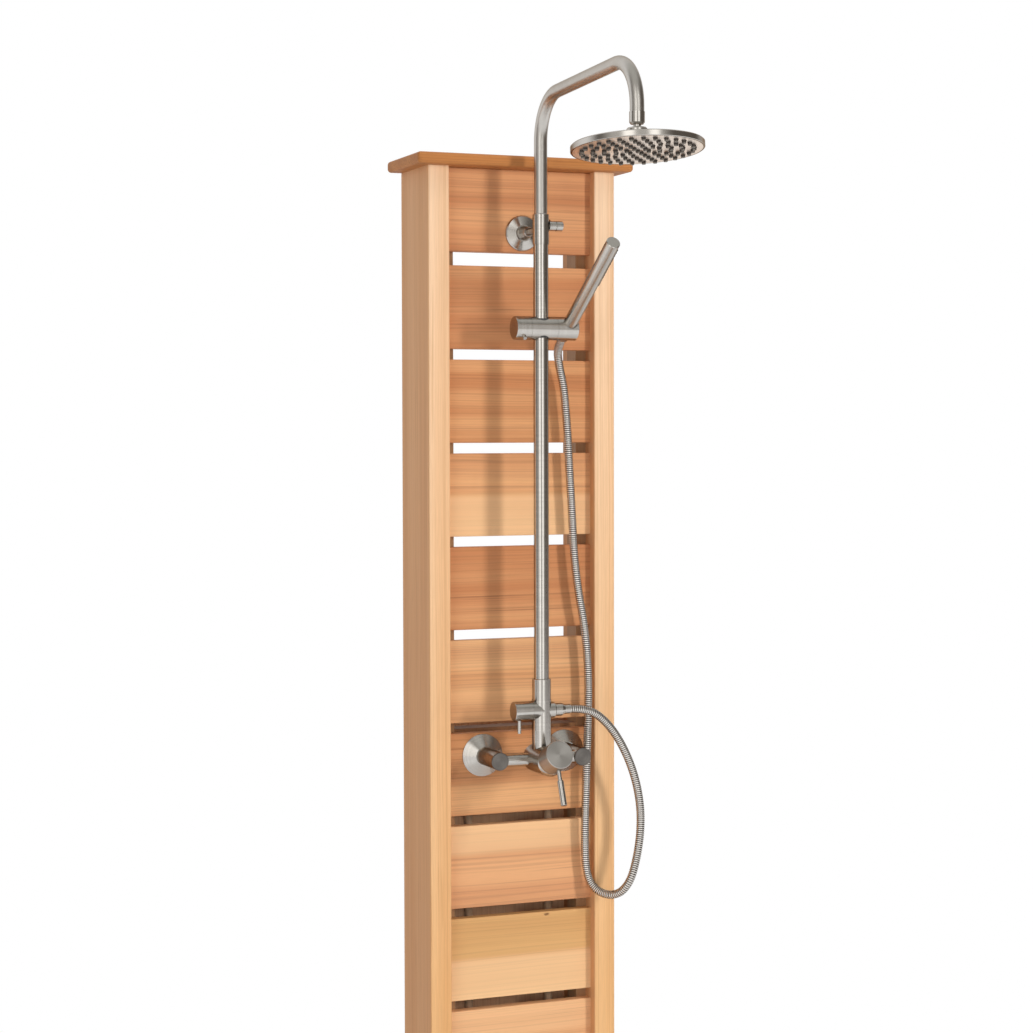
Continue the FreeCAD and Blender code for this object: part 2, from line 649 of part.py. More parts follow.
def make_lever():
    """Hub, stem and pin lever: they tip together about the pivot inside the dome."""
    at = (riser_x, pivot_y, mixer_z)
    outer, inner = S.valve_dia / 2, S.valve_dia / 2 - 3.5
    sphere = root(outer * outer + S.dome_setback * S.dome_setback) + S.dome_gap
    rim = root(sphere * sphere - outer * outer)
    lip = root(sphere * sphere - inner * inner)
    stem = Size.of(4.5)
    face = S.hub_reach
    keep("mixer_hub", lathe(
        [(outer, rim), (outer, face - 0.8), (outer - 0.8, face), (0, face), (0, face - 9),
         (stem + S.slip, face - 9), (stem + S.slip, 27), (9, 27), (9, face - 5), (inner, face - 5),
         (inner, lip)],
        at, HUB_AXIS, arcs={10: 0}))
    keep("lever_stem", lathe([(0, 2), (stem, 2), (stem, face - 9.2), (0, face - 9.2)],
                             at, HUB_AXIS))
    pin_y = pivot_y - S.lever_place * cosine(S.lever_tilt)
    pin_z = mixer_z + S.lever_place * sine(S.lever_tilt)
    seat, neck_foot = outer - 1.5, outer + S.neck_length
    neck, grip, tip = S.neck_dia / 2, S.grip_dia / 2, neck_foot + S.grip_length
    handle = lathe([(0, seat), (neck, seat), (neck, neck_foot), (grip - 0.5, neck_foot),
                    (grip, neck_foot + 0.5), (grip, tip - 0.6), (grip - 0.6, tip), (0, tip)],
                   (riser_x, pin_y, pin_z), LEVER_AXIS)
    keep("lever_handle", cut(handle, rod(outer, face, at, HUB_AXIS)))


# --------------------------------------------------------------------------------------------
# Diverter and riser
# --------------------------------------------------------------------------------------------
def make_diverter():
    """Upright from the mixer to the riser, crossed by the diverter barrel and the hose outlet."""
    cross = S.cross_dia / 2
    upright_top = cross_z + cross + 2
    upright = rod(cross, upright_top - mixer_z, (riser_x, riser_y, mixer_z))
    barrel = rod(cross, S.knob_start, (riser_x, riser_y, cross_z), LEFT)
    stub = lathe([(0, 0), (S.stub_dia / 2, 0), (S.stub_dia / 2, S.stub_end - 1.5),
                  (S.stub_dia / 2 - 1.5, S.stub_end), (0, S.stub_end)],
                 (riser_x, riser_y, cross_z), RIGHT)
    valve = rod(S.valve_dia / 2, S.riser_stand + 60, (riser_x, slat_y, mixer_z), FORWARD)
    bore = rod(S.waterway_dia / 2 + 2, upright_top - mixer_z + 2, (riser_x, riser_y, mixer_z))
    socket = rod(S.riser_dia / 2 + S.slip, 6, (riser_x, riser_y, upright_top - 5))
    spindle_bore = rod(9, S.knob_start + 1, (riser_x, riser_y, cross_z), LEFT)
    outlet_bore = rod(9, S.stub_end + 1, (riser_x, riser_y, cross_z), RIGHT)
    keep("diverter_body", cut(fuse(upright, barrel, stub),
                              valve, bore, socket, spindle_bore, outlet_bore))

    start, end = S.knob_start + S.parting, S.knob_end
    socket = S.knob_pin_dia / 2 + 5
    cup = lathe([(0, end - 4), (socket, end - 4), (socket, start + 2), (8.6, start), (cross, start),
                 (cross, end - 0.8), (cross - 0.8, end), (0, end)],
                (riser_x, riser_y, cross_z), LEFT)
    pin_x = riser_x - (start + end) / 2 - 4.8
    pin = rod(S.knob_pin_dia / 2, cross - socket + S.knob_pin_length,
              (pin_x, riser_y, cross_z - socket), DOWN)
    keep("diverter_knob", fuse(cup, pin))
    keep("diverter_spindle", lathe([(0, 4), (6, 4), (8.8, 6), (8.8, start - 4), (6.9, start - 4),
                                    (6.9, end - 4.1), (0, end - 4.1)],
                                   (riser_x, riser_y, cross_z), LEFT))

    nut = S.nut_dia / 2
    keep("hose_nut_lower", lathe(
        [(9.1, S.stub_end + 0.5), (nut, S.stub_end + 0.5), (nut, S.stub_end + 12),
         (8, S.stub_end + 18), (8, S.nut_end), (S.hose_bore / 2, S.nut_end),
         (S.hose_bore / 2, S.stub_end + 12), (9.1, S.stub_end + 12)],
        (riser_x, riser_y, cross_z), RIGHT))
    keep("hose_outlet", tube(9, 6, 16, (riser_x + S.stub_end - 6, riser_y, cross_z), RIGHT))


def make_riser():
    """Sleeve, riser tube, and the collar that caps the tube and is held by the wall bracket."""
    riser = S.riser_dia / 2
    foot = cross_z + S.cross_dia / 2 + 2
    sleeve = S.sleeve_dia / 2
    sleeve_top = cross_z + S.sleeve_top
    keep("riser_sleeve", lathe(
        [(riser + S.slip, 0), (sleeve, 0), (sleeve, sleeve_top - foot - 0.8),
         (sleeve - 0.8, sleeve_top - foot), (riser + S.slip, sleeve_top - foot)],
        (riser_x, riser_y, foot)))
    tube_foot = foot - 4.5
    tube_top = bracket_z - 3
    keep("riser_tube", tube(riser, riser - S.riser_wall, tube_top - tube_foot,
                            (riser_x, riser_y, tube_foot)))

    collar, half = S.collar_dia / 2, S.collar_height / 2
    guide = S.arm_dia / 2 + S.slip
    ring = lathe([(riser + S.slip, -half), (collar, -half), (collar, half - 1), (collar - 1, half),
                  (guide, half), (guide, -2), (riser + S.slip, -2)], (riser_x, riser_y, bracket_z))
    keep("riser_collar", cut(ring, rod(4.1, 20, (riser_x, riser_y, bracket_z + 6), RIGHT)))


def make_bracket():
    """Wall rosette, socket and rod behind the collar, on a stud through the top slat."""
    at = (riser_x, slat_y, bracket_z)
    rosette = S.bracket_dia / 2
    keep("bracket_rosette", lathe(
        [(4.3, 0), (rosette, 0), (rosette, 2.2), (rosette - 1.6, 4), (14, 8), (4.3, 8)],
        at, FORWARD))
    rod_dia = Size.of(12)
    rod_reach = S.riser_stand - S.collar_dia / 2
    keep("bracket_socket", lathe([(rod_dia / 2 + S.slip, 20), (4.3, 20), (4.3, 8), (11.7, 8),
                                  (8.6, 31), (8, 31.8), (rod_dia / 2 + S.slip, 31.8)],
                                 at, FORWARD))
    blank = rod(rod_dia / 2, rod_reach - 14, (riser_x, slat_y - 20, bracket_z), FORWARD)
    collar = rod(S.collar_dia / 2, S.collar_height,
                 (riser_x, riser_y, bracket_z - S.collar_height / 2))
    keep("bracket_rod", cut(blank, collar))
    nut_at = S.slat_thick + 1.5
    keep("bracket_stud", lathe([(0, -18), (4, -18), (4, S.slat_thick), (10, S.slat_thick),
                                (10, nut_at), (7.5, nut_at), (7.5, nut_at + 7), (4, nut_at + 7),
                                (4, nut_at + 12), (0, nut_at + 12)],
                               at, BACKWARD))


def make_collar_lock():
    """Lock knob of the collar with its pin; it frees the arm to slide and swivel."""
    knob, start, end = S.lock_dia / 2, S.collar_dia / 2 + S.parting, S.lock_end
    groove = (start + end) / 2
    barrel = lathe([(0, S.arm_dia / 2 + S.slip), (4, S.arm_dia / 2 + S.slip), (4, start),
                    (knob, start), (knob, groove - 0.7), (knob - 1.2, groove - 0.7),
                    (knob - 1.2, groove + 0.7), (knob, groove + 0.7), (knob, end - 0.8),
                    (knob - 0.8, end), (0, end)],
                   (riser_x, riser_y, bracket_z + 6), RIGHT)
    pin = rod(2, knob + 14, (riser_x + groove - 3.5, riser_y, bracket_z + 6), LOCK_PIN_AXIS)
    keep("collar_lock", fuse(barrel, pin))


# --------------------------------------------------------------------------------------------
# Overhead arm and rain head
# --------------------------------------------------------------------------------------------
def make_arm():
    """The bent tube: up out of the riser, forward, and down to the head."""
    foot = bracket_z - S.arm_insert
    height = arm_corner_z - foot
    climb = S.arm_climb.value
    reach, bend = S.arm_reach.value, S.arm_bend.value
    body = doc.addObject("PartDesign::Body", "Arm")
    path = new_sketch(body, "YZ_Plane")

    def trim(turn):
        return bend * math.tan(math.radians(turn) / 2)

    slope = V(-math.cos(math.radians(climb)), math.sin(math.radians(climb)), 0)
    corner_back = V(0, height.value, 0)
    corner_front = corner_back + slope * (reach / math.cos(math.radians(climb)))
    first = corner_back - V(0, trim(90 - climb), 0)
    second = corner_back + slope * trim(90 - climb)
    third = corner_front - slope * trim(90 + climb)
    fourth = corner_front - V(0, trim(90 + climb), 0)
    tip = corner_front - V(0, S.arm_drop.value, 0)

    def middle(corner, centre):
        return centre + (corner - centre).normalize() * bend

    back_centre = first + V(-bend, 0, 0)
    front_centre = fourth + V(bend, 0, 0)
    edges = [Part.LineSegment(V(0, 0, 0), first),
             Part.Arc(first, middle(corner_back, back_centre), second),
             Part.LineSegment(second, third),
             Part.Arc(third, middle(corner_front, front_centre), fourth),
             Part.LineSegment(fourth, tip)]
    for edge in edges:
        path.addGeometry(edge, False)
    add = path.addConstraint
    add(Sketcher.Constraint("Coincident", 0, 1, -1, 1))
    add(Sketcher.Constraint("Vertical", 0))
    add(Sketcher.Constraint("Vertical", 4))

    def end_at(number, point):
        return 1 if path.getPoint(number, 1).distanceToPoint(point) < 1e-6 else 2

    for left, right, point in ((0, 1, first), (1, 2, second), (2, 3, third), (3, 4, fourth)):
        add(Sketcher.Constraint("Tangent", left, end_at(left, point), right, end_at(right, point)))
    for number in (1, 3):
        datum = add(Sketcher.Constraint("Radius", number, bend))
        path.setExpression(f"Constraints[{datum}]", S.arm_bend.formula)
    half_turn = (90 - S.arm_climb) / 2
    rise = height - S.arm_bend * tangent(half_turn)
    tip_height = height + S.arm_reach * tangent(S.arm_climb) - S.arm_drop
    for kind, number, end, size in (("DistanceY", 0, 2, rise),
                                    ("DistanceX", 4, end_at(4, tip), -S.arm_reach),
                                    ("DistanceY", 4, end_at(4, tip), tip_height)):
        datum = add(Sketcher.Constraint(kind, -1, 1, number, end, size.value))
        path.setExpression(f"Constraints[{datum}]", size.formula)
    fall = tip_height - (height + S.arm_reach * tangent(S.arm_climb)
                         - S.arm_bend * tangent((90 + S.arm_climb) / 2))
    datum = add(Sketcher.Constraint("DistanceY", 4, end_at(4, fourth), 4, end_at(4, tip),
                                    fall.value))
    path.setExpression(f"Constraints[{datum}]", fall.formula)

    ring = new_sketch(body, "XY_Plane")
    for size in (S.arm_dia / 2, S.arm_dia / 2 - S.arm_wall):
        number = ring.addGeometry(Part.Circle(V(0, 0, 0), V(0, 0, 1), size.value), False)
        ring.addConstraint(Sketcher.Constraint("Coincident", number, 3, -1, 1))
        datum = ring.addConstraint(Sketcher.Constraint("Radius", number, size.value))
        ring.setExpression(f"Constraints[{datum}]", size.formula)
    sweep = body.newObject("PartDesign::AdditivePipe", "Sweep")
    sweep.Profile = ring
    sweep.Spine = (path, [f"Edge{number}" for number in range(1, 6)])
    keep("overhead_arm", place(body, (riser_x, riser_y, foot)))

    guide = S.riser_dia / 2 - S.riser_wall - S.slip
    keep("arm_guide_ring", tube(guide, guide - 3, 12, (riser_x, riser_y, foot - 12 - S.parting)))


def make_ball_joint():
    """Ferrule, ball with its neck, the slippery seat round the ball, and the head's nut."""
    at = (riser_x, head_y, ball_z)
    ferrule, neck = S.ferrule_dia / 2, Size.of(6)
    keep("arm_ferrule", lathe(
        [(neck + 0.05, 0), (ferrule - 2, 0), (ferrule, 3), (ferrule, S.ferrule_height),
         (neck + 0.05, S.ferrule_height)],
        (riser_x, head_y, ferrule_foot_z)))
    radius = S.ball_dia / 2
    shoulder = root(radius * radius - neck * neck)
    neck_top = S.ball_drop + S.ferrule_height - 0.5
    keep("swivel_ball", lathe([(0, -radius), (neck, shoulder), (neck, neck_top), (0, neck_top)],
                              at, arcs={0: 0}))
    seat_in, seat_out = radius + S.slip, radius + 2
    low, high = -0.57, 0.05
    low_r, high_r = 0.8216, 0.9987
    keep("ball_seat", lathe(
        [(seat_in * low_r, seat_in * low), (seat_out * low_r, seat_out * low),
         (seat_out * high_r, seat_out * high), (seat_in * high_r, seat_in * high)],
        at, arcs={1: 0, 3: 0}))
    hold = seat_out + S.slip
    mouth = neck + 3.6
    mouth_z = root((radius + 0.6) * (radius + 0.6) - mouth * mouth)
    step_r = hold * 0.94
    step_z = root(hold * hold - step_r * step_r)
    foot_r = hold * 0.6
    keep("head_nut", lathe(
        [(foot_r, -hold * 0.8), (step_r, step_z), (mouth, mouth_z + 1), (mouth + 1.5, 8.5),
         (14.5, 8.5), (16.5, 6), (17.5, -S.head_drop), (foot_r, -S.head_drop)],
        at, HEAD_AXIS, arcs={0: 0}))


def nozzle_spots():
    """Nozzle places on the face: one in the middle and rings of 6, 12, 18 and so on."""
    spots = [(0.0, 0.0)]
    for ring in range(1, NOZZLE_RINGS + 1):
        radius = ring * S.nozzle_pitch.value
        for step in range(6 * ring):
            angle = 2 * math.pi * step / (6 * ring) + math.radians(S.nozzle_turn.value)
            spots.append((radius * math.cos(angle), radius * math.sin(angle)))
    return spots


def make_head():
    """Shell, drilled face and the rubber mat whose nozzles stand through the face."""
    at = (riser_x, head_y, ball_z)
    top, foot = -S.head_drop, -S.head_drop - S.head_thick
    rim = S.head_dia / 2
    keep("head_shell", lathe(
        [(0, top), (rim - 1.5, top), (rim, top - 1.5), (rim, foot + 0.8), (rim - 0.8, foot),
         (rim - 3, foot), (rim - 3, foot + 1.2), (rim - 2, foot + 1.2), (rim - 2, top - 1.8),
         (0, top - 1.8)],
        at, HEAD_AXIS))

    hole, nozzle = S.nozzle_dia.value / 2 + 0.15, S.nozzle_dia.value / 2
    where = FreeCAD.Placement(V(riser_x.value, head_y.value, ball_z.value), HEAD_AXIS)
    low = foot.value
    holes = [Part.makeCylinder(hole, 3, V(x, y, low - 1)) for x, y in nozzle_spots()]
    face = Part.makeCylinder(rim.value - 3, 1.2, V(0, 0, low)).cut(Part.makeCompound(holes))
    plate = doc.addObject("Part::Feature", "Face")
    plate.Shape = face
    plate.Placement = where
    keep("head_face", plate)

    mat = Part.makeCylinder(rim.value - 6, 1.5, V(0, 0, low + 1.3))
    cones = [Part.makeCone(nozzle * 0.72, nozzle, 1.4 + S.nozzle_proud.value,
                           V(x, y, low - S.nozzle_proud.value)) for x, y in nozzle_spots()]
    rubber = doc.addObject("Part::Feature", "Mat")
    rubber.Shape = mat.multiFuse(cones)
    rubber.Placement = where
    keep("head_nozzles", rubber)


# --------------------------------------------------------------------------------------------
# Slider and handset
# --------------------------------------------------------------------------------------------
def socket_radius(distance):
    """Radius of the holder's tapered socket at a distance up from the holder's axis."""
    return S.handset_dia / 2 - 0.8 + distance * 0.06


def make_slider():
    """Slider barrel round the riser with its plastic bush, clamp knob and turning holder."""
    at = (riser_x, riser_y, slider_z)
    radius, riser = S.slider_dia / 2, S.riser_dia / 2
    bush_out = riser + 2.5
    blank = rod(radius, S.slider_knob - S.parting + S.holder_start - S.parting,
                (riser_x - S.slider_knob + S.parting, riser_y, slider_z), RIGHT)
    way = rod(bush_out, S.slider_dia + 2, (riser_x, riser_y, slider_z - radius - 1))
    screw_way = rod(5.2, 20, (riser_x - S.slider_knob - 1, riser_y, slider_z), RIGHT)
    pivot_way = rod(6 + S.slip, 20, (riser_x + bush_out + 1, riser_y, slider_z), RIGHT)
    keep("slider_body", cut(blank, way, screw_way, pivot_way))
    inner = riser + S.slip
    sleeve = tube(bush_out, inner, S.slider_dia - 7,
                  (riser_x, riser_y, slider_z - S.slider_dia / 2 + 3.5))
    keep("slider_bush", sleeve)

    tip = bush_out + S.parting
    knob = lathe([(0, tip), (5, tip), (5, S.slider_knob), (radius, S.slider_knob),
                  (radius, S.slider_left - 1), (radius - 1, S.slider_left), (0, S.slider_left)],
                 at, LEFT)
    pin = rod(3, radius + 6, (riser_x - S.slider_left + 13, riser_y, slider_z), SLIDER_PIN_AXIS)
    keep("slider_knob", fuse(knob, pin))

    barrel = lathe([(0, bush_out + 1.5), (6, bush_out + 1.5), (6, S.holder_start),
                    (radius, S.holder_start), (radius, S.holder_end - 1),
                    (radius - 1, S.holder_end), (0, S.holder_end)],
                   at, RIGHT)
    reach = radius + 6
    socket = lathe([(0, -reach), (socket_radius(-reach), -reach), (socket_radius(reach), reach),
                    (0, reach)],
                   (handset_x, riser_y, slider_z), HANDSET_AXIS)
    keep("handset_holder", cut(barrel, socket))


def make_handset():
    """Baton handset with its end cap, spray strip and the cone nut that sits in the holder."""
    at = (handset_x, riser_y, slider_z)
    radius, foot = S.handset_dia / 2, -S.cone_foot
    start = S.slider_dia / 2 + 1
    bore = S.hose_dia / 2 + S.slip
    keep("cone_nut", lathe(
        [(bore, foot), (socket_radius(foot) - 1.3, foot),
         (socket_radius(foot) - S.parting, foot + 1), (socket_radius(start) - S.parting, start),
         (bore, start)],
        at, HANDSET_AXIS))
    end = start + S.handset_length - 3
    baton = tube(radius, radius - 1.5, end - start, (0, 0, 0))
    place_along(baton, start)
    slot = box(8, 9, 92, (radius - 5, -4.5, end - 104))
    slot_turned = turned_group(slot)
    keep("handset_tube", cut(baton, slot_turned))
    keep("handset_cap", lathe([(0, end), (radius, end), (radius, end + 2), (radius - 1, end + 3),
                               (0, end + 3)], at, HANDSET_AXIS))
    strip = box(3.2, 8.6, 91.6, (radius - 2.6, -4.3, end - 103.8))
    nubs = [rod(1.3, 1.6, (radius + 0.2, y, end - 98 + 7 * step), RIGHT)
            for step in range(13) for y in (-2.2, 2.2)]
    keep("handset_nozzles", turned_group(fuse(strip, *nubs)))


def place_along(item, distance):
    """Put a piece on the handset's axis, its origin a distance up from the holder."""
    back = distance * cosine(S.handset_lean)
    rise = distance * sine(S.handset_lean)
    return place(item, (handset_x, riser_y - back, slider_z + rise), HANDSET_AXIS)


def turned_group(item):
    """Turn a piece made upright at the origin onto the handset's axis."""
    holder = doc.addObject("Part::Compound", "Turned")
    holder.Links = [item]
    return place(holder, (handset_x, riser_y, slider_z), HANDSET_AXIS)


# --------------------------------------------------------------------------------------------
# Hose
# --------------------------------------------------------------------------------------------
HOSE_ROUTE = [(57, -134.85, 1229), (92, -135, 1229), (130, -134.5, 1199), (157, -134, 1159),
              (178, -133, 1111), (190, -131.5, 1060), (191, -131, 1012), (183, -132, 965),
              (169.4, -134.1, 924.6), (154.3, -114.7, 900), (132.9, -87.3, 900),
              (117.8, -67.9, 924.6), (112.5, -70, 980), (114, -73, 1080), (116.5, -76, 1190),
              (118, -76, 1275), (111.5, -76, 1357), (99, -76, 1420), (91, -75, 1485),
              (87.5, -74, 1565), (83.4, -74.4, 1625), (80.5, -74, 1685), (77, -74, 1730),
              (73, -74.3, 1772), (63, -76.4, 1810), (54, -89.5, 1836.93), (54, -112.6, 1852.81)]
HOSE_SPLITS = (("hose_lower", 9), ("hose_middle", 20), ("hose_top", None))
RIB_PITCH = 7.2


def hose_stretches(points):
    """Straight runs joined by arcs as large as the runs allow, parted into the named stretches.

    A stretch ends halfway along the run that HOSE_SPLITS names, where the route is straight.
    """
    points = [V(*point) for point in points]
    endings = dict((run, name) for name, run in HOSE_SPLITS)
    stretches, edges, radii, last = {}, [], [], points[0]
    for number in range(len(points) - 1):
        inward = points[number + 1] - points[number]
        if number == len(points) - 2:
            edges.append(Part.LineSegment(last, points[-1]).toShape())
            stretches[endings[None]] = (edges, radii)
            continue
        outward = points[number + 2] - points[number + 1]
        turn = inward.getAngle(outward)
        trim = 0.45 * min(inward.Length, outward.Length)
        start = points[number + 1] - V(inward).normalize() * trim
        end = points[number + 1] + V(outward).normalize() * trim
        if number in endings:
            halfway = (last + start) / 2
            edges.append(Part.LineSegment(last, halfway).toShape())
            stretches[endings[number]] = (edges, radii)
            edges, radii, last = [], [], halfway
        radius = trim / math.tan(turn / 2)
        towards = ((start + end) / 2 - points[number + 1]).normalize()
        middle = points[number + 1] + towards * radius * (1 / math.cos(turn / 2) - 1)
        radii.append(radius)
        edges.append(Part.LineSegment(last, start).toShape())
        edges.append(Part.Arc(start, middle, end).toShape())
        last = end
    return stretches


def along(edges, distance):
    """Point and direction at a distance along a chain of edges."""
    for edge in edges:
        if distance <= edge.Length or edge is edges[-1]:
            at = edge.getParameterByLength(min(distance, edge.Length))
            return edge.valueAt(at), edge.tangentAt(at)
        distance -= edge.Length
    raise ValueError("distance beyond the route")


def ring_at(edges, distance, radius):
    """A circle square to the route, its X axis kept steady along the whole hose."""
    centre, direction = along(edges, distance)
    steady = V(1, 1, 0) - direction * V(1, 1, 0).dot(direction)
    circle = Part.Circle(centre, direction, radius)
    circle.Axis, circle.XAxis = direction, steady
    return Part.Wire(circle.toShape())


def make_hose():
    """The ribbed hose in three stretches: from the diverter, up beside the riser, to the handset."""
    crest, valley = S.hose_dia.value / 2, S.hose_dia.value / 2 - 0.45
    for name, (edges, radii) in hose_stretches(HOSE_ROUTE).items():
        length = sum(edge.Length for edge in edges)
        ribs = round(length / RIB_PITCH)
        pitch = length / ribs
        stations = []
        for rib in range(ribs):
            stations += [(pitch * rib, valley), (pitch * (rib + 0.08), crest),
                         (pitch * (rib + 0.78), crest), (pitch * (rib + 0.86), valley)]
        stations.append((length, valley))
        outside = Part.makeLoft([ring_at(edges, *station) for station in stations], True, True)
        bore_rings = [ring_at(edges, length * step / (2 * ribs), S.hose_bore.value / 2)
                      for step in range(2 * ribs + 1)]
        solid = outside.cut(Part.makeLoft(bore_rings, True, True))
        expected = math.pi * (crest ** 2 - S.hose_bore.value ** 2 / 4) * length
        print(f"{name}: length {length:.1f}, {ribs} ribs, least radius {min(radii):.1f}, "
              f"volume {solid.Volume / expected:.4f} of section times length")
        item = doc.addObject("Part::Feature", "Hose")
        item.Shape = solid
        keep(name, item)


for make in (make_posts, make_cap, make_slats, make_battens, make_cover, make_blocking, make_foot,
             make_supply, make_mixer_body, make_cartridge, make_lever, make_diverter, make_riser,
             make_bracket, make_collar_lock, make_arm, make_ball_joint, make_head, make_slider,
             make_handset, make_hose):
    make()

doc.recompute()
failed = [item.Label for item in doc.Objects if {"Invalid", "Error"} & set(item.State)]
if failed:
    raise RuntimeError(f"these objects failed: {failed}")
for name, item in pieces.items():
    if item.Shape.isNull() or not item.Shape.isValid() or item.Shape.Volume <= 0:
        raise RuntimeError(f"{name} has no valid solid")
    if not item.Shape.Solids:
        raise RuntimeError(f"{name} holds no solid")

os.makedirs("parts", exist_ok=True)
for name, item in pieces.items():
    item.Shape.exportStep(f"parts/{name}.step")
print(f"{len(pieces)} pieces written")
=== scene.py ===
"""Looks of the outdoor shower post: cedar column, satin steel shower set, ribbed hose and studio."""
import json
import logging
import math
from dataclasses import dataclass
from enum import Enum
from typing import Iterable, Optional, Sequence

import bmesh
import bpy
from mathutils import Matrix, Vector


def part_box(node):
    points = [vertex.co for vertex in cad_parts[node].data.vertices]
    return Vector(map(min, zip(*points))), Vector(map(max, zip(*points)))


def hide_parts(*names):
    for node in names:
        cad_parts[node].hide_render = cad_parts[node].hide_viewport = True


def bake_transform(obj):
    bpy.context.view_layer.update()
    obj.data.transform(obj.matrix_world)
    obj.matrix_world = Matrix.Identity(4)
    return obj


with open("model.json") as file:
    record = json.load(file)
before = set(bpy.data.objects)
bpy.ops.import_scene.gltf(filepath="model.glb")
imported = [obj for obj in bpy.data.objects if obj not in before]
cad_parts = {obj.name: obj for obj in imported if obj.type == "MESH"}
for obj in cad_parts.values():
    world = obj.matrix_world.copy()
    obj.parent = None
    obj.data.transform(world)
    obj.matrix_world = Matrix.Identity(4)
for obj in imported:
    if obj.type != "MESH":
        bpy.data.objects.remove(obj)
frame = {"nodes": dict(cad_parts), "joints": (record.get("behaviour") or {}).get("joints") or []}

log = logging.getLogger("shower_post")
Point = tuple[float, float, float]
Colour = tuple[float, float, float]

# Sockets of the Mix node that take the share and the two colours, and the one that gives a colour.
MIX_INPUTS = (0, 6, 7)
MIX_RESULT = 2


# ---------------------------------------------------------------------------------------------
# Shader helpers
# ---------------------------------------------------------------------------------------------
class Shader:
    """A node tree with short ways to add and join nodes."""

    def __init__(self, tree: bpy.types.NodeTree) -> None:
        """Wrap a node tree.

        Args:
            tree: the tree of a material, a world or a shader group.
        """
        self.tree = tree

    def add(self, kind: str, settings: Optional[dict] = None, **inputs: object) -> bpy.types.Node:
        """Add a node, set its properties and fill or join its inputs.

        Args:
            kind: the node's type name without the leading ShaderNode.
            settings: properties of the node itself.
            inputs: a socket's name, with blanks as underscores, and a value or a socket to join.

        Returns:
            The new node.
        """
        node = self.tree.nodes.new("ShaderNode" + kind)
        for name, value in (settings or {}).items():
            setattr(node, name, value)
        for name, value in inputs.items():
            self.fill(node, name.replace("_", " "), value)
        return node

    def fill(self, node: bpy.types.Node, name: str | int, value: object) -> None:
        """Set one input, or join a socket to it.

        Args:
            node: the node that has the input.
            name: the input's name or number.
            value: a number, a colour, or another node's output.
        """
        socket = node.inputs[name]
        if isinstance(value, bpy.types.NodeSocket):
            self.tree.links.new(value, socket)
        elif isinstance(value, tuple) and len(value) == 3 and socket.type == "RGBA":
            socket.default_value = (*value, 1.0)
        else:
            socket.default_value = value

    def math(self, operation: str, first: object, second: object = 0.0) -> bpy.types.NodeSocket:
        """Reckon with two numbers.

        Args:
            operation: the kind of sum.
            first: the first number.
            second: the second number, where the sum has one.

        Returns:
            The result.
        """
        node = self.add("Math", {"operation": operation})
        self.fill(node, 0, first)
        self.fill(node, 1, second)
        return node.outputs[0]

    def blend(self, share: object, low: object, high: object,
              kind: str = "MIX") -> bpy.types.NodeSocket:
        """Mix two colours.

        Args:
            share: how much of the second colour, from 0 to 1.
            low: the first colour.
            high: the second colour.
            kind: the way of mixing.

        Returns:
            The mixed colour.
        """
        node = self.add("Mix", {"data_type": "RGBA", "blend_type": kind})
        for number, value in zip(MIX_INPUTS, (share, low, high)):
            self.fill(node, number, value)
        return node.outputs[MIX_RESULT]

    def ramp(self, value: object, low: float, high: float) -> bpy.types.NodeSocket:
        """A smooth step from 0 at low to 1 at high."""
        return self.add("MapRange", {"interpolation_type": "SMOOTHSTEP"}, Value=value,
                        From_Min=low, From_Max=high).outputs[0]

    def spread(self, value: object, results: tuple[float, float],
               given: tuple[float, float] = (0.0, 1.0)) -> bpy.types.NodeSocket:
        """Move a number in a straight line from one range to another.

        Args:
            value: the number.
            results: what the two ends of its range become.
            given: the range that it comes from.

        Returns:
            The moved number.
        """
        return self.add("MapRange", Value=value, From_Min=given[0], From_Max=given[1],
                        To_Min=results[0], To_Max=results[1]).outputs[0]

    def relief(self, surface: bpy.types.Node, height: object, strength: float,
               depth: float) -> None:
        """Raise fine relief on a surface.

        Args:
            surface: the surface shader.
            height: the pattern of the relief.
            strength: how much of it shows.
            depth: its depth in metres.
        """
        bump = self.add("Bump", Strength=strength, Distance=depth, Height=height)
        self.fill(surface, "Normal", bump.outputs[0])

    def noise(self, vector: object, scale: float, detail: float = 3.0,
              rough: float = 0.5) -> bpy.types.NodeSocket:
        """A plain noise value."""
        return self.add("TexNoise", Vector=vector, Scale=scale, Detail=detail,
                        Roughness=rough).outputs["Fac"]

    def vector(self, operation: str, first: object,
               second: object = (0.0, 0.0, 0.0)) -> bpy.types.NodeSocket:
        """Reckon with two vectors.

        Args:
            operation: the kind of sum.
            first: the first vector.
            second: the second vector, where the sum has one.

        Returns:
            A number for a length or a dot product, otherwise a vector.
        """
        node = self.add("VectorMath", {"operation": operation})
        self.fill(node, 0, first)
        self.fill(node, 1, second)
        return node.outputs["Value" if operation in ("LENGTH", "DOT_PRODUCT") else "Vector"]

    def levels(self, share: object, heights: Sequence[float]) -> bpy.types.NodeSocket:
        """A grey level for each equal part of the range from 0 to 1.

        Args:
            share: which part, from 0 to 1.
            heights: the level of each part in order.

        Returns:
            The level as a colour.
        """
        node = self.add("ValToRGB", Fac=share)
        stops = node.color_ramp
        stops.interpolation = "CONSTANT"
        stops.elements.remove(stops.elements[1])
        stops.elements[0].color = (heights[0],) * 3 + (1.0,)
        for number, height in enumerate(heights[1:], start=1):
            stops.elements.new(number / len(heights)).color = (height,) * 3 + (1.0,)
        return node.outputs[0]


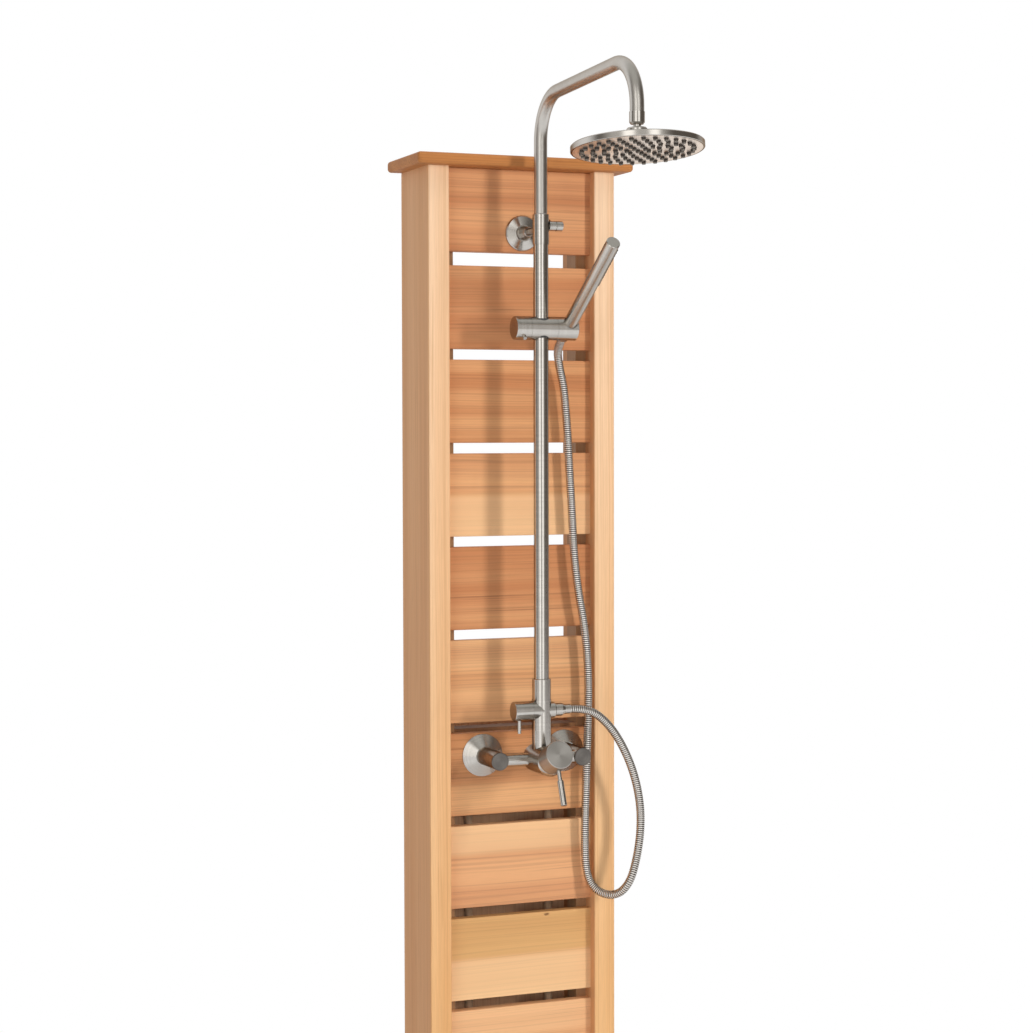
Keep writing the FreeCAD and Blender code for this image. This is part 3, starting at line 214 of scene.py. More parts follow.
def new_group(name: str, sockets: Iterable[tuple[str, str, str, object]]) -> bpy.types.NodeTree:
    """Start a shader group with named sockets.

    Args:
        name: the group's name.
        sockets: name, INPUT or OUTPUT, socket type, and default or None.

    Returns:
        The empty group.
    """
    tree = bpy.data.node_groups.new(name, "ShaderNodeTree")
    for label, side, kind, default in sockets:
        socket = tree.interface.new_socket(label, in_out=side, socket_type="NodeSocket" + kind)
        if default is not None:
            socket.default_value = default
    tree.nodes.new("NodeGroupInput")
    tree.nodes.new("NodeGroupOutput")
    return tree


def ends(tree: bpy.types.NodeTree) -> tuple[bpy.types.NodeOutputs, bpy.types.Node]:
    """The inputs' outlets and the output node of a group."""
    start = next(n for n in tree.nodes if n.bl_idname == "NodeGroupInput")
    return start.outputs, next(n for n in tree.nodes if n.bl_idname == "NodeGroupOutput")


def new_material(name: str) -> tuple[bpy.types.Material, Shader, bpy.types.Node,
                                     bpy.types.NodeSocket]:
    """Start a material.

    Args:
        name: the material's name.

    Returns:
        The material, its tree, its surface shader and the Object coordinates.
    """
    made = bpy.data.materials.new(name)
    made.use_nodes = True
    s = Shader(made.node_tree)
    return made, s, made.node_tree.nodes["Principled BSDF"], s.add("TexCoord").outputs["Object"]


class Groups:
    """Effects that more than one finish uses, each built once."""

    def __init__(self) -> None:
        """Build every group."""
        self.grain = self._grain()
        self.board = self._board()
        self.turned = self._turned()
        self.weather = self._weather()

    @staticmethod
    def _grain() -> bpy.types.NodeTree:
        """Straight-grained cedar, its grain along X: fine lines, broad bands and dark streaks.

        Returns:
            A group that reads a place in metres and a seed.
        """
        tree = new_group("Cedar grain", [
            ("Vector", "INPUT", "Vector", None), ("Seed", "INPUT", "Float", 0.0),
            ("Waviness", "INPUT", "Float", 1.0), ("Lines", "OUTPUT", "Float", None),
            ("Bands", "OUTPUT", "Float", None), ("Streaks", "OUTPUT", "Float", None),
            ("Fibres", "OUTPUT", "Float", None)])
        s = Shader(tree)
        given, result = ends(tree)
        seed = given["Seed"]
        offset = s.add("CombineXYZ", X=seed, Y=s.math("MULTIPLY", seed, 0.37),
                       Z=s.math("MULTIPLY", seed, -0.53)).outputs[0]
        place = s.vector("ADD", given["Vector"], offset)

        def stretched(x: float, across: float, start: object) -> bpy.types.NodeSocket:
            """A place scaled along the grain and across it."""
            return s.vector("MULTIPLY", start, (x, across, across))

        sway = s.math("SUBTRACT", s.noise(stretched(1.6, 7.0, place), 1.0, 2.0, 0.4), 0.5)
        sway = s.math("MULTIPLY", s.math("MULTIPLY", sway, 0.02), given["Waviness"])
        swayed = s.vector("ADD", place, s.add("CombineXYZ", X=0.0, Y=sway, Z=0.0).outputs[0])
        s.fill(result, "Lines", s.noise(stretched(0.9, 330.0, swayed), 1.0, 3.0, 0.62))
        s.fill(result, "Bands", s.noise(stretched(0.5, 30.0, swayed), 1.0, 2.0, 0.45))
        thin = s.ramp(s.noise(stretched(1.5, 250.0, swayed), 1.0, 2.0, 0.5), 0.60, 0.70)
        here = s.ramp(s.noise(stretched(4.0, 26.0, place), 1.0, 2.0, 0.5), 0.44, 0.62)
        s.fill(result, "Streaks", s.math("MULTIPLY", thin, here))
        s.fill(result, "Fibres", s.noise(stretched(24.0, 1500.0, place), 1.0, 2.0, 0.6))
        return tree

    @staticmethod
    def _board() -> bpy.types.NodeTree:
        """Which slat of the stack a height belongs to.

        Returns:
            A group that reads a place, the top of the stack, the pitch and the number of slats.
        """
        tree = new_group("Board of a stack", [
            ("Vector", "INPUT", "Vector", None), ("Top", "INPUT", "Float", 0.0),
            ("Pitch", "INPUT", "Float", 0.16), ("Count", "INPUT", "Float", 13.0),
            ("Share", "OUTPUT", "Float", None), ("Seed", "OUTPUT", "Float", None),
            ("Depth in board", "OUTPUT", "Float", None)])
        s = Shader(tree)
        given, result = ends(tree)
        height = s.add("SeparateXYZ", Vector=given["Vector"]).outputs[2]
        steps = s.math("DIVIDE", s.math("SUBTRACT", given["Top"], height), given["Pitch"])
        number = s.math("FLOOR", steps)
        seed = s.add("TexWhiteNoise", {"noise_dimensions": "1D"},
                     W=s.math("ADD", number, 7.3)).outputs["Value"]
        s.fill(result, "Share", s.math("DIVIDE", s.math("ADD", number, 0.5), given["Count"]))
        s.fill(result, "Seed", s.math("MULTIPLY", seed, 9.0))
        s.fill(result, "Depth in board", s.math("FRACT", steps))
        return tree

    @staticmethod
    def _turned() -> bpy.types.NodeTree:
        """Fine lines that a lathe leaves: rings round an axis, on a barrel and on its end alike.

        Returns:
            A group that reads a place, a point of the axis and the axis.
        """
        tree = new_group("Turning lines", [
            ("Vector", "INPUT", "Vector", None), ("Centre", "INPUT", "Vector", None),
            ("Axis", "INPUT", "Vector", None), ("Fineness", "INPUT", "Float", 1400.0),
            ("Lines", "OUTPUT", "Float", None), ("Bands", "OUTPUT", "Float", None)])
        s = Shader(tree)
        given, result = ends(tree)
        away = s.vector("SUBTRACT", given["Vector"], given["Centre"])
        along = s.vector("DOT_PRODUCT", away, given["Axis"])
        reach = s.vector("LENGTH", s.vector("CROSS_PRODUCT", away, given["Axis"]))
        rings = s.add("CombineXYZ", X=along, Y=reach, Z=0.0).outputs[0]
        s.fill(result, "Lines", s.noise(rings, given["Fineness"], 2.0, 0.6))
        s.fill(result, "Bands", s.noise(rings, 90.0, 2.0, 0.5))
        return tree

    @staticmethod
    def _weather() -> bpy.types.NodeTree:
        """Faint water marks and handling smudges.

        Returns:
            A group that reads a place in metres.
        """
        tree = new_group("Water marks", [
            ("Vector", "INPUT", "Vector", None), ("Marks", "OUTPUT", "Float", None)])
        s = Shader(tree)
        given, result = ends(tree)
        cloud = s.noise(given["Vector"], 22.0, 4.0, 0.6)
        spots = s.add("TexVoronoi", {"feature": "F1"}, Vector=given["Vector"],
                      Scale=160.0).outputs["Distance"]
        marks = s.math("MULTIPLY", s.ramp(cloud, 0.45, 0.75), s.ramp(spots, 0.45, 0.1))
        s.fill(result, "Marks", s.math("ADD", s.math("MULTIPLY", marks, 0.5),
                                       s.math("MULTIPLY", s.ramp(cloud, 0.5, 0.8), 0.5)))
        return tree


class Axis(Enum):
    """The row axis that a board's grain or a tube's length follows."""

    X = 0
    Y = 1
    Z = 2


# ---------------------------------------------------------------------------------------------
# Finishes
# ---------------------------------------------------------------------------------------------
@dataclass(frozen=True)
class Cedar:
    """Sawn and oiled cedar, straight in the grain."""

    name: str
    early: Colour
    late: Colour
    streak: Colour
    grain_along: Axis
    seed: float = 0.0
    waviness: float = 1.0
    line_share: float = 0.30
    streak_share: float = 0.55
    band_share: float = 0.55
    tone_share: float = 0.80
    tone_start: float = 0.175
    fibre_shade: Colour = (0.88, 0.88, 0.88)
    roughness: tuple[float, float] = (0.50, 0.68)

    def material(self, groups: Groups) -> bpy.types.Material:
        """Build the material.

        Args:
            groups: the shared shader groups.

        Returns:
            Cedar with lines, bands, streaks and fibres.
        """
        made, s, surface, place = new_material(self.name)
        colour, fibres = self.wood(s, groups, place, self.seed, 0.5)
        colour = self.aged(s, place, colour)
        self.finish(s, surface, colour, fibres)
        return made

    def aged(self, s: Shader, place: bpy.types.NodeSocket,
             colour: bpy.types.NodeSocket) -> bpy.types.NodeSocket:
        """The same wood on every side and at every height; a post's sides get painted shade.

        Args:
            s: the material's tree, not used here.
            place: Object coordinates, not used here.
            colour: the wood's colour.

        Returns:
            The colour unchanged.
        """
        return colour

    def wood(self, s: Shader, groups: Groups, place: bpy.types.NodeSocket, seed: object,
             tone: object) -> tuple[bpy.types.NodeSocket, bpy.types.NodeSocket]:
        """The wood's colour and its fibres.

        Args:
            s: the material's tree.
            groups: the shared shader groups.
            place: Object coordinates.
            seed: a number that shifts the grain.
            tone: 0 for the palest board, 1 for the darkest.

        Returns:
            The colour, and the fibres as a value.
        """
        parts = s.add("SeparateXYZ", Vector=place).outputs
        order = {Axis.X: (0, 2, 1), Axis.Z: (2, 0, 1), Axis.Y: (1, 0, 2)}[self.grain_along]
        turned = s.add("CombineXYZ", X=parts[order[0]], Y=parts[order[1]], Z=parts[order[2]])
        grain = s.add("Group", {"node_tree": groups.grain}, Vector=turned.outputs[0], Seed=seed,
                      Waviness=self.waviness)
        bands = s.ramp(grain.outputs["Bands"], 0.30, 0.70)
        share = s.math("ADD", s.math("MULTIPLY", bands, self.band_share),
                       s.math("MULTIPLY", tone, self.tone_share))
        colour = s.blend(s.math("SUBTRACT", share, self.tone_start), self.early, self.late)
        lines = s.math("MULTIPLY", s.ramp(grain.outputs["Lines"], 0.45, 0.68), self.line_share)
        colour = s.blend(lines, colour, self.streak)
        streaks = s.math("MULTIPLY", grain.outputs["Streaks"], self.streak_share)
        colour = s.blend(streaks, colour, self.streak)
        fibres = grain.outputs["Fibres"]
        shade = s.blend(s.ramp(fibres, 0.25, 0.8), self.fibre_shade, (1.0, 1.0, 1.0))
        return s.blend(1.0, colour, shade, "MULTIPLY"), fibres

    def finish(self, s: Shader, surface: bpy.types.Node, colour: bpy.types.NodeSocket,
               fibres: bpy.types.NodeSocket) -> None:
        """Join colour, roughness and fibre relief to the surface.

        Args:
            s: the material's tree.
            surface: the surface shader.
            colour: the wood's colour.
            fibres: the wood's fibres.
        """
        s.fill(surface, "Base Color", colour)
        s.fill(surface, "Roughness", s.spread(fibres, self.roughness))
        s.relief(surface, fibres, 0.25, 0.0004)
        surface.inputs["Specular IOR Level"].default_value = 0.3


@dataclass(frozen=True)
class PostCedar(Cedar):
    """Cedar of an upright: painted shade on the sides as a darker, redder tint, and paler and bluer
    towards its top.
    """

    # Painted shade: the two side tints make the sides darker and redder for the weaker light on
    # them; the two other tints make the front paler and bluer towards the top.
    side: Colour = (0.87, 0.75, 0.67)
    shaded_side_low: Colour = (0.80, 0.66, 0.55)
    top_tint: Colour = (1.03, 1.12, 1.32)
    low_tint: Colour = (0.97, 0.88, 0.72)
    heights: tuple[float, float] = (0.75, 2.05)

    def aged(self, s: Shader, place: bpy.types.NodeSocket,
             colour: bpy.types.NodeSocket) -> bpy.types.NodeSocket:
        """Paint shade on the sides as a darker, redder tint, and tint the colour paler and bluer
        with height.

        Args:
            s: the material's tree.
            place: Object coordinates.
            colour: the wood's colour.

        Returns:
            The tinted colour.
        """
        height = s.spread(s.add("SeparateXYZ", Vector=place).outputs[2], (0.0, 1.0), self.heights)
        normal = s.add("SeparateXYZ", Vector=s.add("TexCoord").outputs["Normal"]).outputs[0]
        # Painted shade: 1 on faces that look sideways, where the side tints apply.
        side_shade_share = s.ramp(s.math("ABSOLUTE", normal), 0.5, 0.9)
        front = s.blend(height, self.low_tint, self.top_tint)
        side = s.blend(height, self.shaded_side_low, self.side)
        return s.blend(1.0, colour, s.blend(side_shade_share, front, side), "MULTIPLY")


@dataclass(frozen=True)
class StackedCedar(Cedar):
    """Cedar for a stack of slats: each slat has its own tone, grain and pale or pink part."""

    top: float = 2.0
    pitch: float = 0.16
    tones: Sequence[float] = (0.5, 0.5)
    pale_foot: Sequence[float] = (0.0, 0.0)
    pinkness: Sequence[float] = (0.5, 0.5)
    pale_head: Sequence[float] = (0.0, 0.0)
    olive: Sequence[float] = (0.0, 0.0)
    pale: Colour = (0.93, 0.61, 0.33)
    pink: Colour = (0.84, 0.42, 0.25)
    tan: Colour = (0.66, 0.39, 0.15)
    knot: Point = (0.0, 0.0, 0.0)
    knot_size: tuple[float, float] = (0.0065, 0.0035)
    knot_colour: Colour = (0.13, 0.05, 0.02)

    def material(self, groups: Groups) -> bpy.types.Material:
        """Build the material.

        Args:
            groups: the shared shader groups.

        Returns:
            Cedar that changes from slat to slat, with one small knot.
        """
        made, s, surface, place = new_material(self.name)
        board = s.add("Group", {"node_tree": groups.board}, Vector=place, Top=self.top,
                      Pitch=self.pitch, Count=float(len(self.tones)))
        share = board.outputs["Share"]
        tone = s.levels(share, self.tones)
        colour, fibres = self.wood(s, groups, place, board.outputs["Seed"], tone)
        depth = s.math("ADD", board.outputs["Depth in board"],
                       s.math("MULTIPLY", s.noise(s.vector("MULTIPLY", place, (2.0, 2.0, 30.0)),
                                                  1.0, 1.0), 0.08))
        colour = s.blend(s.math("MULTIPLY", s.levels(share, self.pinkness), 0.6), colour,
                         s.blend(0.5, colour, self.pink))
        light = s.blend(0.28, self.pale, colour)
        low = s.math("MULTIPLY", s.ramp(depth, 0.50, 0.60), s.levels(share, self.pale_foot))
        high = s.math("MULTIPLY", s.ramp(depth, 0.46, 0.36), s.levels(share, self.pale_head))
        head = s.math("MULTIPLY", s.ramp(depth, 0.58, 0.50), s.levels(share, self.olive))
        colour = s.blend(head, colour, s.blend(0.35, self.tan, colour))
        colour = s.blend(s.math("MAXIMUM", low, high), colour, light)
        colour = s.blend(self.knot_mask(s, place), colour, self.knot_colour)
        self.finish(s, surface, colour, fibres)
        return made

    def knot_mask(self, s: Shader, place: bpy.types.NodeSocket) -> bpy.types.NodeSocket:
        """A mask of a small oval knot.

        Args:
            s: the material's tree.
            place: Object coordinates.

        Returns:
            1 on the knot, 0 elsewhere.
        """
        away = s.vector("SUBTRACT", place, self.knot)
        wide, high = self.knot_size
        flat = s.vector("MULTIPLY", away, (1.0 / wide, 0.0, 1.0 / high))
        reach = s.math("ADD", s.vector("LENGTH", flat),
                       s.math("MULTIPLY", s.noise(place, 300.0), 0.8))
        return s.math("MULTIPLY", s.ramp(reach, 1.35, 0.75), 0.8)


@dataclass(frozen=True)
class Steel:
    """Brushed stainless steel, drawn along its length or with lathe lines round an axis."""

    name: str
    colour: Colour = (0.60, 0.575, 0.54)
    roughness: float = 0.20
    roughness_range: tuple[float, float] = (0.9, 1.15)
    axis: Optional[Point] = None
    centre: Point = (0.0, 0.0, 0.0)
    twin: float = 0.0
    anisotropy: float = 0.6
    variation: float = 0.07
    line_strength: float = 0.05
    stretch: Point = (1.0, 1.0, 30.0)
    # Painted reflection: a dark brown tint of the grazing reflection, for the shaded wood that the
    # edges mirror.
    edge: Colour = (0.30, 0.22, 0.16)
    smudge: float = 0.75

    def middle(self, s: Shader, place: bpy.types.NodeSocket) -> object:
        """The point that the lathe lines turn about.

        Args:
            s: the material's tree.
            place: Object coordinates.

        Returns:
            The centre, or for a pair of like pieces the centre of the nearer one.
        """
        if not self.twin:
            return self.centre
        x, y, z = self.centre
        side = s.math("SIGN", s.math("SUBTRACT", s.add("SeparateXYZ", Vector=place).outputs[0], x))
        near = s.math("ADD", s.math("MULTIPLY", side, self.twin), x)
        return s.add("CombineXYZ", X=near, Y=y, Z=z).outputs[0]

    def lines(self, s: Shader, groups: Groups, surface: bpy.types.Node,
              place: bpy.types.NodeSocket) -> tuple[bpy.types.NodeSocket, bpy.types.NodeSocket]:
        """Fine lines and broad bands, and the way that the shine is drawn out across them.

        Args:
            s: the material's tree.
            groups: the shared shader groups.
            surface: the shader of the material.
            place: Object coordinates.

        Returns:
            The lines and the bands as values.
        """
        if not self.axis:
            brushed = s.vector("MULTIPLY", place, self.stretch)
            return s.noise(brushed, 60.0, 3.0, 0.6), s.noise(brushed, 6.0, 2.0, 0.5)
        centre = self.middle(s, place)
        ring = s.add("Group", {"node_tree": groups.turned}, Vector=place, Centre=centre,
                     Axis=self.axis)
        around = s.vector("CROSS_PRODUCT", self.axis, s.vector("SUBTRACT", place, centre))
        s.fill(surface, "Tangent", s.vector("NORMALIZE", around))
        surface.inputs["Anisotropic"].default_value = self.anisotropy
        surface.inputs["Anisotropic Rotation"].default_value = 0.25
        return ring.outputs["Lines"], ring.outputs["Bands"]

    def material(self, groups: Groups) -> bpy.types.Material:
        """Build the material.

        Args:
            groups: the shared shader groups.

        Returns:
            Steel with fine lines and faint water marks.
        """
        made, s, surface, place = new_material(self.name)
        marks = s.add("Group", {"node_tree": groups.weather}, Vector=place).outputs["Marks"]
        lines, bands = self.lines(s, groups, surface, place)
        dark = tuple(part * (1.0 - self.variation) for part in self.colour)
        bright = tuple(part * (1.0 + self.variation) for part in self.colour)
        colour = s.blend(s.ramp(lines, 0.3, 0.7), dark, bright)
        colour = s.blend(s.math("MULTIPLY", s.ramp(bands, 0.4, 0.7), 0.5), colour, dark)
        colour = s.blend(s.math("MULTIPLY", marks, 0.15), colour,
                         tuple(part * self.smudge for part in self.colour))
        s.fill(surface, "Base Color", colour)
        worn = s.math("ADD", lines, s.math("MULTIPLY", marks, 0.5))
        smooth, rough = (self.roughness * share for share in self.roughness_range)
        s.fill(surface, "Roughness", s.spread(worn, (smooth, rough), (0.25, 1.1)))
        surface.inputs["Metallic"].default_value = 1.0
        # Painted reflection: the tint darkens and browns the grazing reflection.
        surface.inputs["Specular Tint"].default_value = (*self.edge, 1.0)
        s.relief(surface, lines, self.line_strength, 0.0001)
        return made


@dataclass(frozen=True)
class NozzleRubber:
    """Black rubber nozzles with painted light on their tips."""

    name: str
    axis: Point
    tip: float
    depth: float = 0.0022
    dark: Colour = (0.030, 0.022, 0.017)
    # Painted light: the colour of the tips where they catch the light.
    lit_tip_colour: Colour = (0.21, 0.185, 0.155)
    roughness: tuple[float, float] = (0.40, 0.62)

    def material(self, groups: Groups) -> bpy.types.Material:
        """Build the material.

        Args:
            groups: the shared shader groups, not used here.

        Returns:
            Rubber that pales within a short distance of the tips, as painted light.
        """
        made, s, surface, place = new_material(self.name)
        along = s.vector("DOT_PRODUCT", place, self.axis)
        # Painted light: the tips are coloured paler, broken up by noise.
        near = s.ramp(along, self.tip + self.depth, self.tip + self.depth / 4)
        tip_light = s.math("MULTIPLY", near, s.ramp(s.noise(place, 400.0), 0.3, 0.6))
        s.fill(surface, "Base Color", s.blend(tip_light, self.dark, self.lit_tip_colour))
        s.fill(surface, "Roughness", s.spread(s.noise(place, 900.0), self.roughness))
        s.relief(surface, s.noise(place, 1500.0), 0.2, 0.0001)
        return made


@dataclass(frozen=True)
class Plain:
    """Rubber, plastic, brass and zinc."""

    name: str
    colour: Colour
    roughness: float = 0.5
    metallic: float = 0.0
    mottle: float = 0.25
    scale: float = 90.0
    roughness_range: tuple[float, float] = (0.85, 1.2)

    def material(self, groups: Groups) -> bpy.types.Material:
        """Build the material.

        Args:
            groups: the shared shader groups.

        Returns:
            The finish with a slight mottle and faint marks.
        """
        made, s, surface, place = new_material(self.name)
        cloud = s.noise(place, self.scale, 4.0, 0.6)
        marks = s.add("Group", {"node_tree": groups.weather}, Vector=place).outputs["Marks"]
        shade = tuple(part * (1.0 - self.mottle) for part in self.colour)
        colour = s.blend(s.ramp(cloud, 0.3, 0.75), shade, self.colour)
        s.fill(surface, "Base Color", colour)
        smooth, rough = (self.roughness * share for share in self.roughness_range)
        s.fill(surface, "Roughness", s.spread(marks, (smooth, rough)))
        surface.inputs["Metallic"].default_value = self.metallic
        s.relief(surface, cloud, 0.15, 0.0002)
        return made


# ---------------------------------------------------------------------------------------------
# Mesh helpers
# ---------------------------------------------------------------------------------------------
def deselect() -> None:
    """Leave edit mode and select nothing."""
    if bpy.context.object and bpy.context.object.mode != "OBJECT":
        bpy.ops.object.mode_set(mode="OBJECT")
    bpy.ops.object.select_all(action="DESELECT")


def dress(names: Iterable[str], material: bpy.types.Material) -> None:
    """Give CAD nodes a finish.

    Args:
        names: the nodes.
        material: their new material.
    """
    for name in names:
        node = frame["nodes"][name]
        for slot in node.material_slots:
            slot.material = material
        log.info("%s wears %s", name, material.name)


# ---------------------------------------------------------------------------------------------
# Cedar column and foot
# ---------------------------------------------------------------------------------------------
@dataclass
class Column:
    """Posts, cap, slats and what fastens them."""

    slat_gap: float = 0.0177
    middle_slats: int = 5

    def stack(self) -> tuple[float, float]:
        """Top and pitch of the slats below the first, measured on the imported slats.

        Returns:
            The height at which the first slat's share begins, and the pitch.
        """
        low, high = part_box("slats_02_to_06")
        pitch = (high[2] - low[2] + self.slat_gap) / self.middle_slats
        return high[2] + self.slat_gap / 2 + pitch, pitch

    def dress(self, groups: Groups) -> None:
        """Give every wooden piece, its screws and the foot a finish.

        Args:
            groups: the shared shader groups.
        """
        top, pitch = self.stack()
        slats = StackedCedar(
            "Cedar slats", early=(0.86, 0.475, 0.215), late=(0.50, 0.185, 0.062),
            streak=(0.16, 0.050, 0.018), grain_along=Axis.X, top=top, pitch=pitch,
            tones=(0.80, 0.80, 0.72, 0.50, 0.74, 0.48, 0.55, 0.42, 0.22, 0.02, 0.5, 0.7, 0.4),
            pale_foot=(0.0, 0.0, 0.0, 0.8, 0.0, 0.2, 0.1, 0.0, 0.95, 0.4, 0.0, 0.3, 0.0),
            pale_head=(0.0, 0.0, 0.0, 0.1, 0.0, 0.3, 0.0, 0.8, 0.0, 0.4, 0.3, 0.0, 0.2),
            olive=(0.0, 0.0, 0.0, 0.0, 0.0, 0.0, 0.0, 0.0, 0.9, 0.0, 0.0, 0.0, 0.5),
            pinkness=(0.7, 0.6, 0.4, 0.5, 0.5, 0.4, 0.3, 0.9, 0.0, 0.9, 0.5, 0.6, 0.3),
            knot=(0.049, 0.0, 0.864))
        dress(["slat_01", "slats_02_to_06", "slat_07", "slats_08_to_13"], slats.material(groups))
        post = dict(early=(0.93, 0.62, 0.36), late=(0.80, 0.46, 0.225),
                    streak=(0.50, 0.22, 0.075), grain_along=Axis.Z, waviness=0.6,
                    line_share=0.26, streak_share=0.4)
        for node, seed in (("post_board_left", 1.3), ("post_board_right", 3.9)):
            dress([node], PostCedar(f"Cedar {node}", seed=seed, **post).material(groups))
        dress(["cap_board"], Cedar("Cedar cap", early=(0.62, 0.27, 0.085),
                                   late=(0.44, 0.165, 0.05), streak=(0.20, 0.065, 0.02),
                                   grain_along=Axis.X, seed=2.6).material(groups))
        rough = dict(post, early=(0.50, 0.31, 0.17), late=(0.36, 0.20, 0.10))
        dress(["slat_battens"], Cedar("Cedar framing", seed=5.1, **rough).material(groups))
        # Painted shade: the blocking board gets a dark cedar colour for the deep shade behind the
        # slats.
        painted_shade_wood = dict(rough, early=(0.30, 0.16, 0.08), late=(0.20, 0.10, 0.05))
        dress(["blocking_board"], Cedar("Painted shade cedar", seed=7.7, **painted_shade_wood).material(groups))
        # Painted light: the back cover is kept pale to brighten the dim gaps between the slats.
        dress(["back_cover"], Cedar("Painted light cedar", seed=6.3, **dict(
            post, early=(0.92, 0.60, 0.38), late=(0.84, 0.50, 0.29))).material(groups))
        zinc = Plain("Zinc screws", (0.62, 0.62, 0.60), 0.35, 1.0).material(groups)
        dress(["slat_screws", "frame_screws", "cap_screws"], zinc)
        plate = Steel("Foot plate steel", roughness=0.34, stretch=(1.0, 30.0, 1.0)).material(groups)
        dress(["foot_plate", "foot_bolts", "bracket_stud"], plate)


# ---------------------------------------------------------------------------------------------
# Shower set
# ---------------------------------------------------------------------------------------------
@dataclass
class ShowerSet:
    """All metal and rubber pieces that hang on the column."""

    hub_lean: float = math.radians(22.0)
    head_lean: float = math.radians(5.5)
    inlet_span: float = 0.150
    face_drop: float = 0.0294

    @staticmethod
    def joint(name: str) -> dict:
        """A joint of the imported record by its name."""
        return next(joint for joint in frame["joints"] if joint["name"] == name)

    @staticmethod
    def middle(node: str) -> Point:
        """The middle of a node's box."""
        low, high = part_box(node)
        return tuple((a + b) / 2 for a, b in zip(low, high))

    def turned(self, name: str, nodes: Iterable[str], groups: Groups, axis: Point, centre: Point,
               **sizes: object) -> None:
        """Give nodes steel with lathe lines.

        Args:
            name: the finish's name.
            nodes: the nodes that wear it.
            groups: the shared shader groups.
            axis: direction of the lathe's axis.
            centre: a point on it.
            sizes: other settings of the steel.
        """
        dress(nodes, Steel(name, axis=axis, centre=centre, **sizes).material(groups))

    def dress(self, groups: Groups) -> None:
        """Give every piece of the shower set a finish.

        Args:
            groups: the shared shader groups.
        """
        up, across, ahead = (0.0, 0.0, 1.0), (1.0, 0.0, 0.0), (0.0, -1.0, 0.0)
        riser = tuple(self.joint("arm_swivel")["pos_m"])
        cross = tuple(self.joint("diverter_turn")["pos_m"])
        slider = tuple(self.joint("holder_tilt")["pos_m"])
        valve = tuple(self.joint("flow_lever")["pos_m"])
        ball = tuple(self.joint("head_tilt")["pos_m"])
        lock = tuple(self.joint("collar_lock_turn")["pos_m"])
        baton = tuple(self.joint("handset_lift")["axis"])
        hub = (0.0, -math.cos(self.hub_lean), math.sin(self.hub_lean))
        lever = (0.0, -math.sin(self.hub_lean), -math.cos(self.hub_lean))
        face = (0.0, math.sin(self.head_lean), math.cos(self.head_lean))
        self.turned("Riser steel", ["riser_tube", "riser_sleeve", "riser_collar", "diverter_body"],
                    groups, up, riser, roughness=0.18)
        self.turned("Crossbar steel", ["diverter_knob", "hose_nut_lower", "diverter_spindle",
                                       "hose_outlet"], groups, across, cross)
        self.turned("Slider steel", ["slider_body", "slider_knob", "handset_holder"], groups,
                    across, slider, roughness=0.23)
        self.turned("Lock steel", ["collar_lock"], groups, across, lock)
        self.turned("Ferrule steel", ["arm_ferrule", "swivel_ball"], groups, up, ball,
                    roughness=0.16)
        self.turned("Hub steel", ["mixer_hub"], groups, hub, valve, roughness=0.32,
                    colour=(0.60, 0.58, 0.55))
        self.turned("Dome steel", ["valve_dome", "mixer_body", "lever_stem"], groups, ahead, valve,
                    anisotropy=0.2)
        self.turned("Lever steel", ["lever_handle"], groups, lever, self.middle("lever_handle"))
        self.turned("Head steel", ["head_shell", "head_nut"], groups, face, ball, roughness=0.22)
        self.turned("Head face steel", ["head_face"], groups, face, ball, roughness=0.36,
                    colour=(0.82, 0.76, 0.70), edge=(0.9, 0.8, 0.72))
        self.turned("Baton steel", ["handset_tube", "handset_cap", "cone_nut"], groups, baton,
                    slider, roughness=0.23)
        self.turned("Bracket steel", ["bracket_rosette", "bracket_rod", "bracket_socket"], groups,
                    ahead, self.middle("bracket_rod"), roughness=0.20)
        inlets = dict(twin=self.inlet_span / 2, centre=valve)
        self.turned("Rosette steel", ["inlet_rosettes"], groups, ahead, roughness=0.23,
                    anisotropy=0.85, **inlets)
        self.turned("Cap steel", ["inlet_caps"], groups, ahead, roughness=0.40,
                    colour=(0.20, 0.185, 0.17), **inlets)
        dress(["overhead_arm"], Steel("Arm steel", roughness=0.33, line_strength=0.0,
                                      variation=0.03, stretch=(1.0, 1.0, 1.0),
                                      edge=(0.50, 0.44, 0.38)).material(groups))
        dress(["head_nozzles"], NozzleRubber("Head nozzle rubber", face,
                                             sum(a * b for a, b in zip(ball, face))
                                             - self.face_drop).material(groups))
        dress(["handset_nozzles"],
              Plain("Nozzle rubber", (0.022, 0.020, 0.018), 0.5).material(groups))
        dress(["ball_seat", "slider_bush", "arm_guide_ring"],
              Plain("Bearing plastic", (0.05, 0.05, 0.05), 0.45).material(groups))
        dress(["cartridge"], Plain("Cartridge plastic", (0.8, 0.8, 0.78), 0.3).material(groups))
        dress(["supply_pipes"], Plain("Supply pipe", (0.66, 0.44, 0.28), 0.55).material(groups))
        dress(["wall_elbows", "wall_unions", "cartridge_carrier"],
              Plain("Fitting brass", (0.66, 0.48, 0.22), 0.35, 1.0).material(groups))


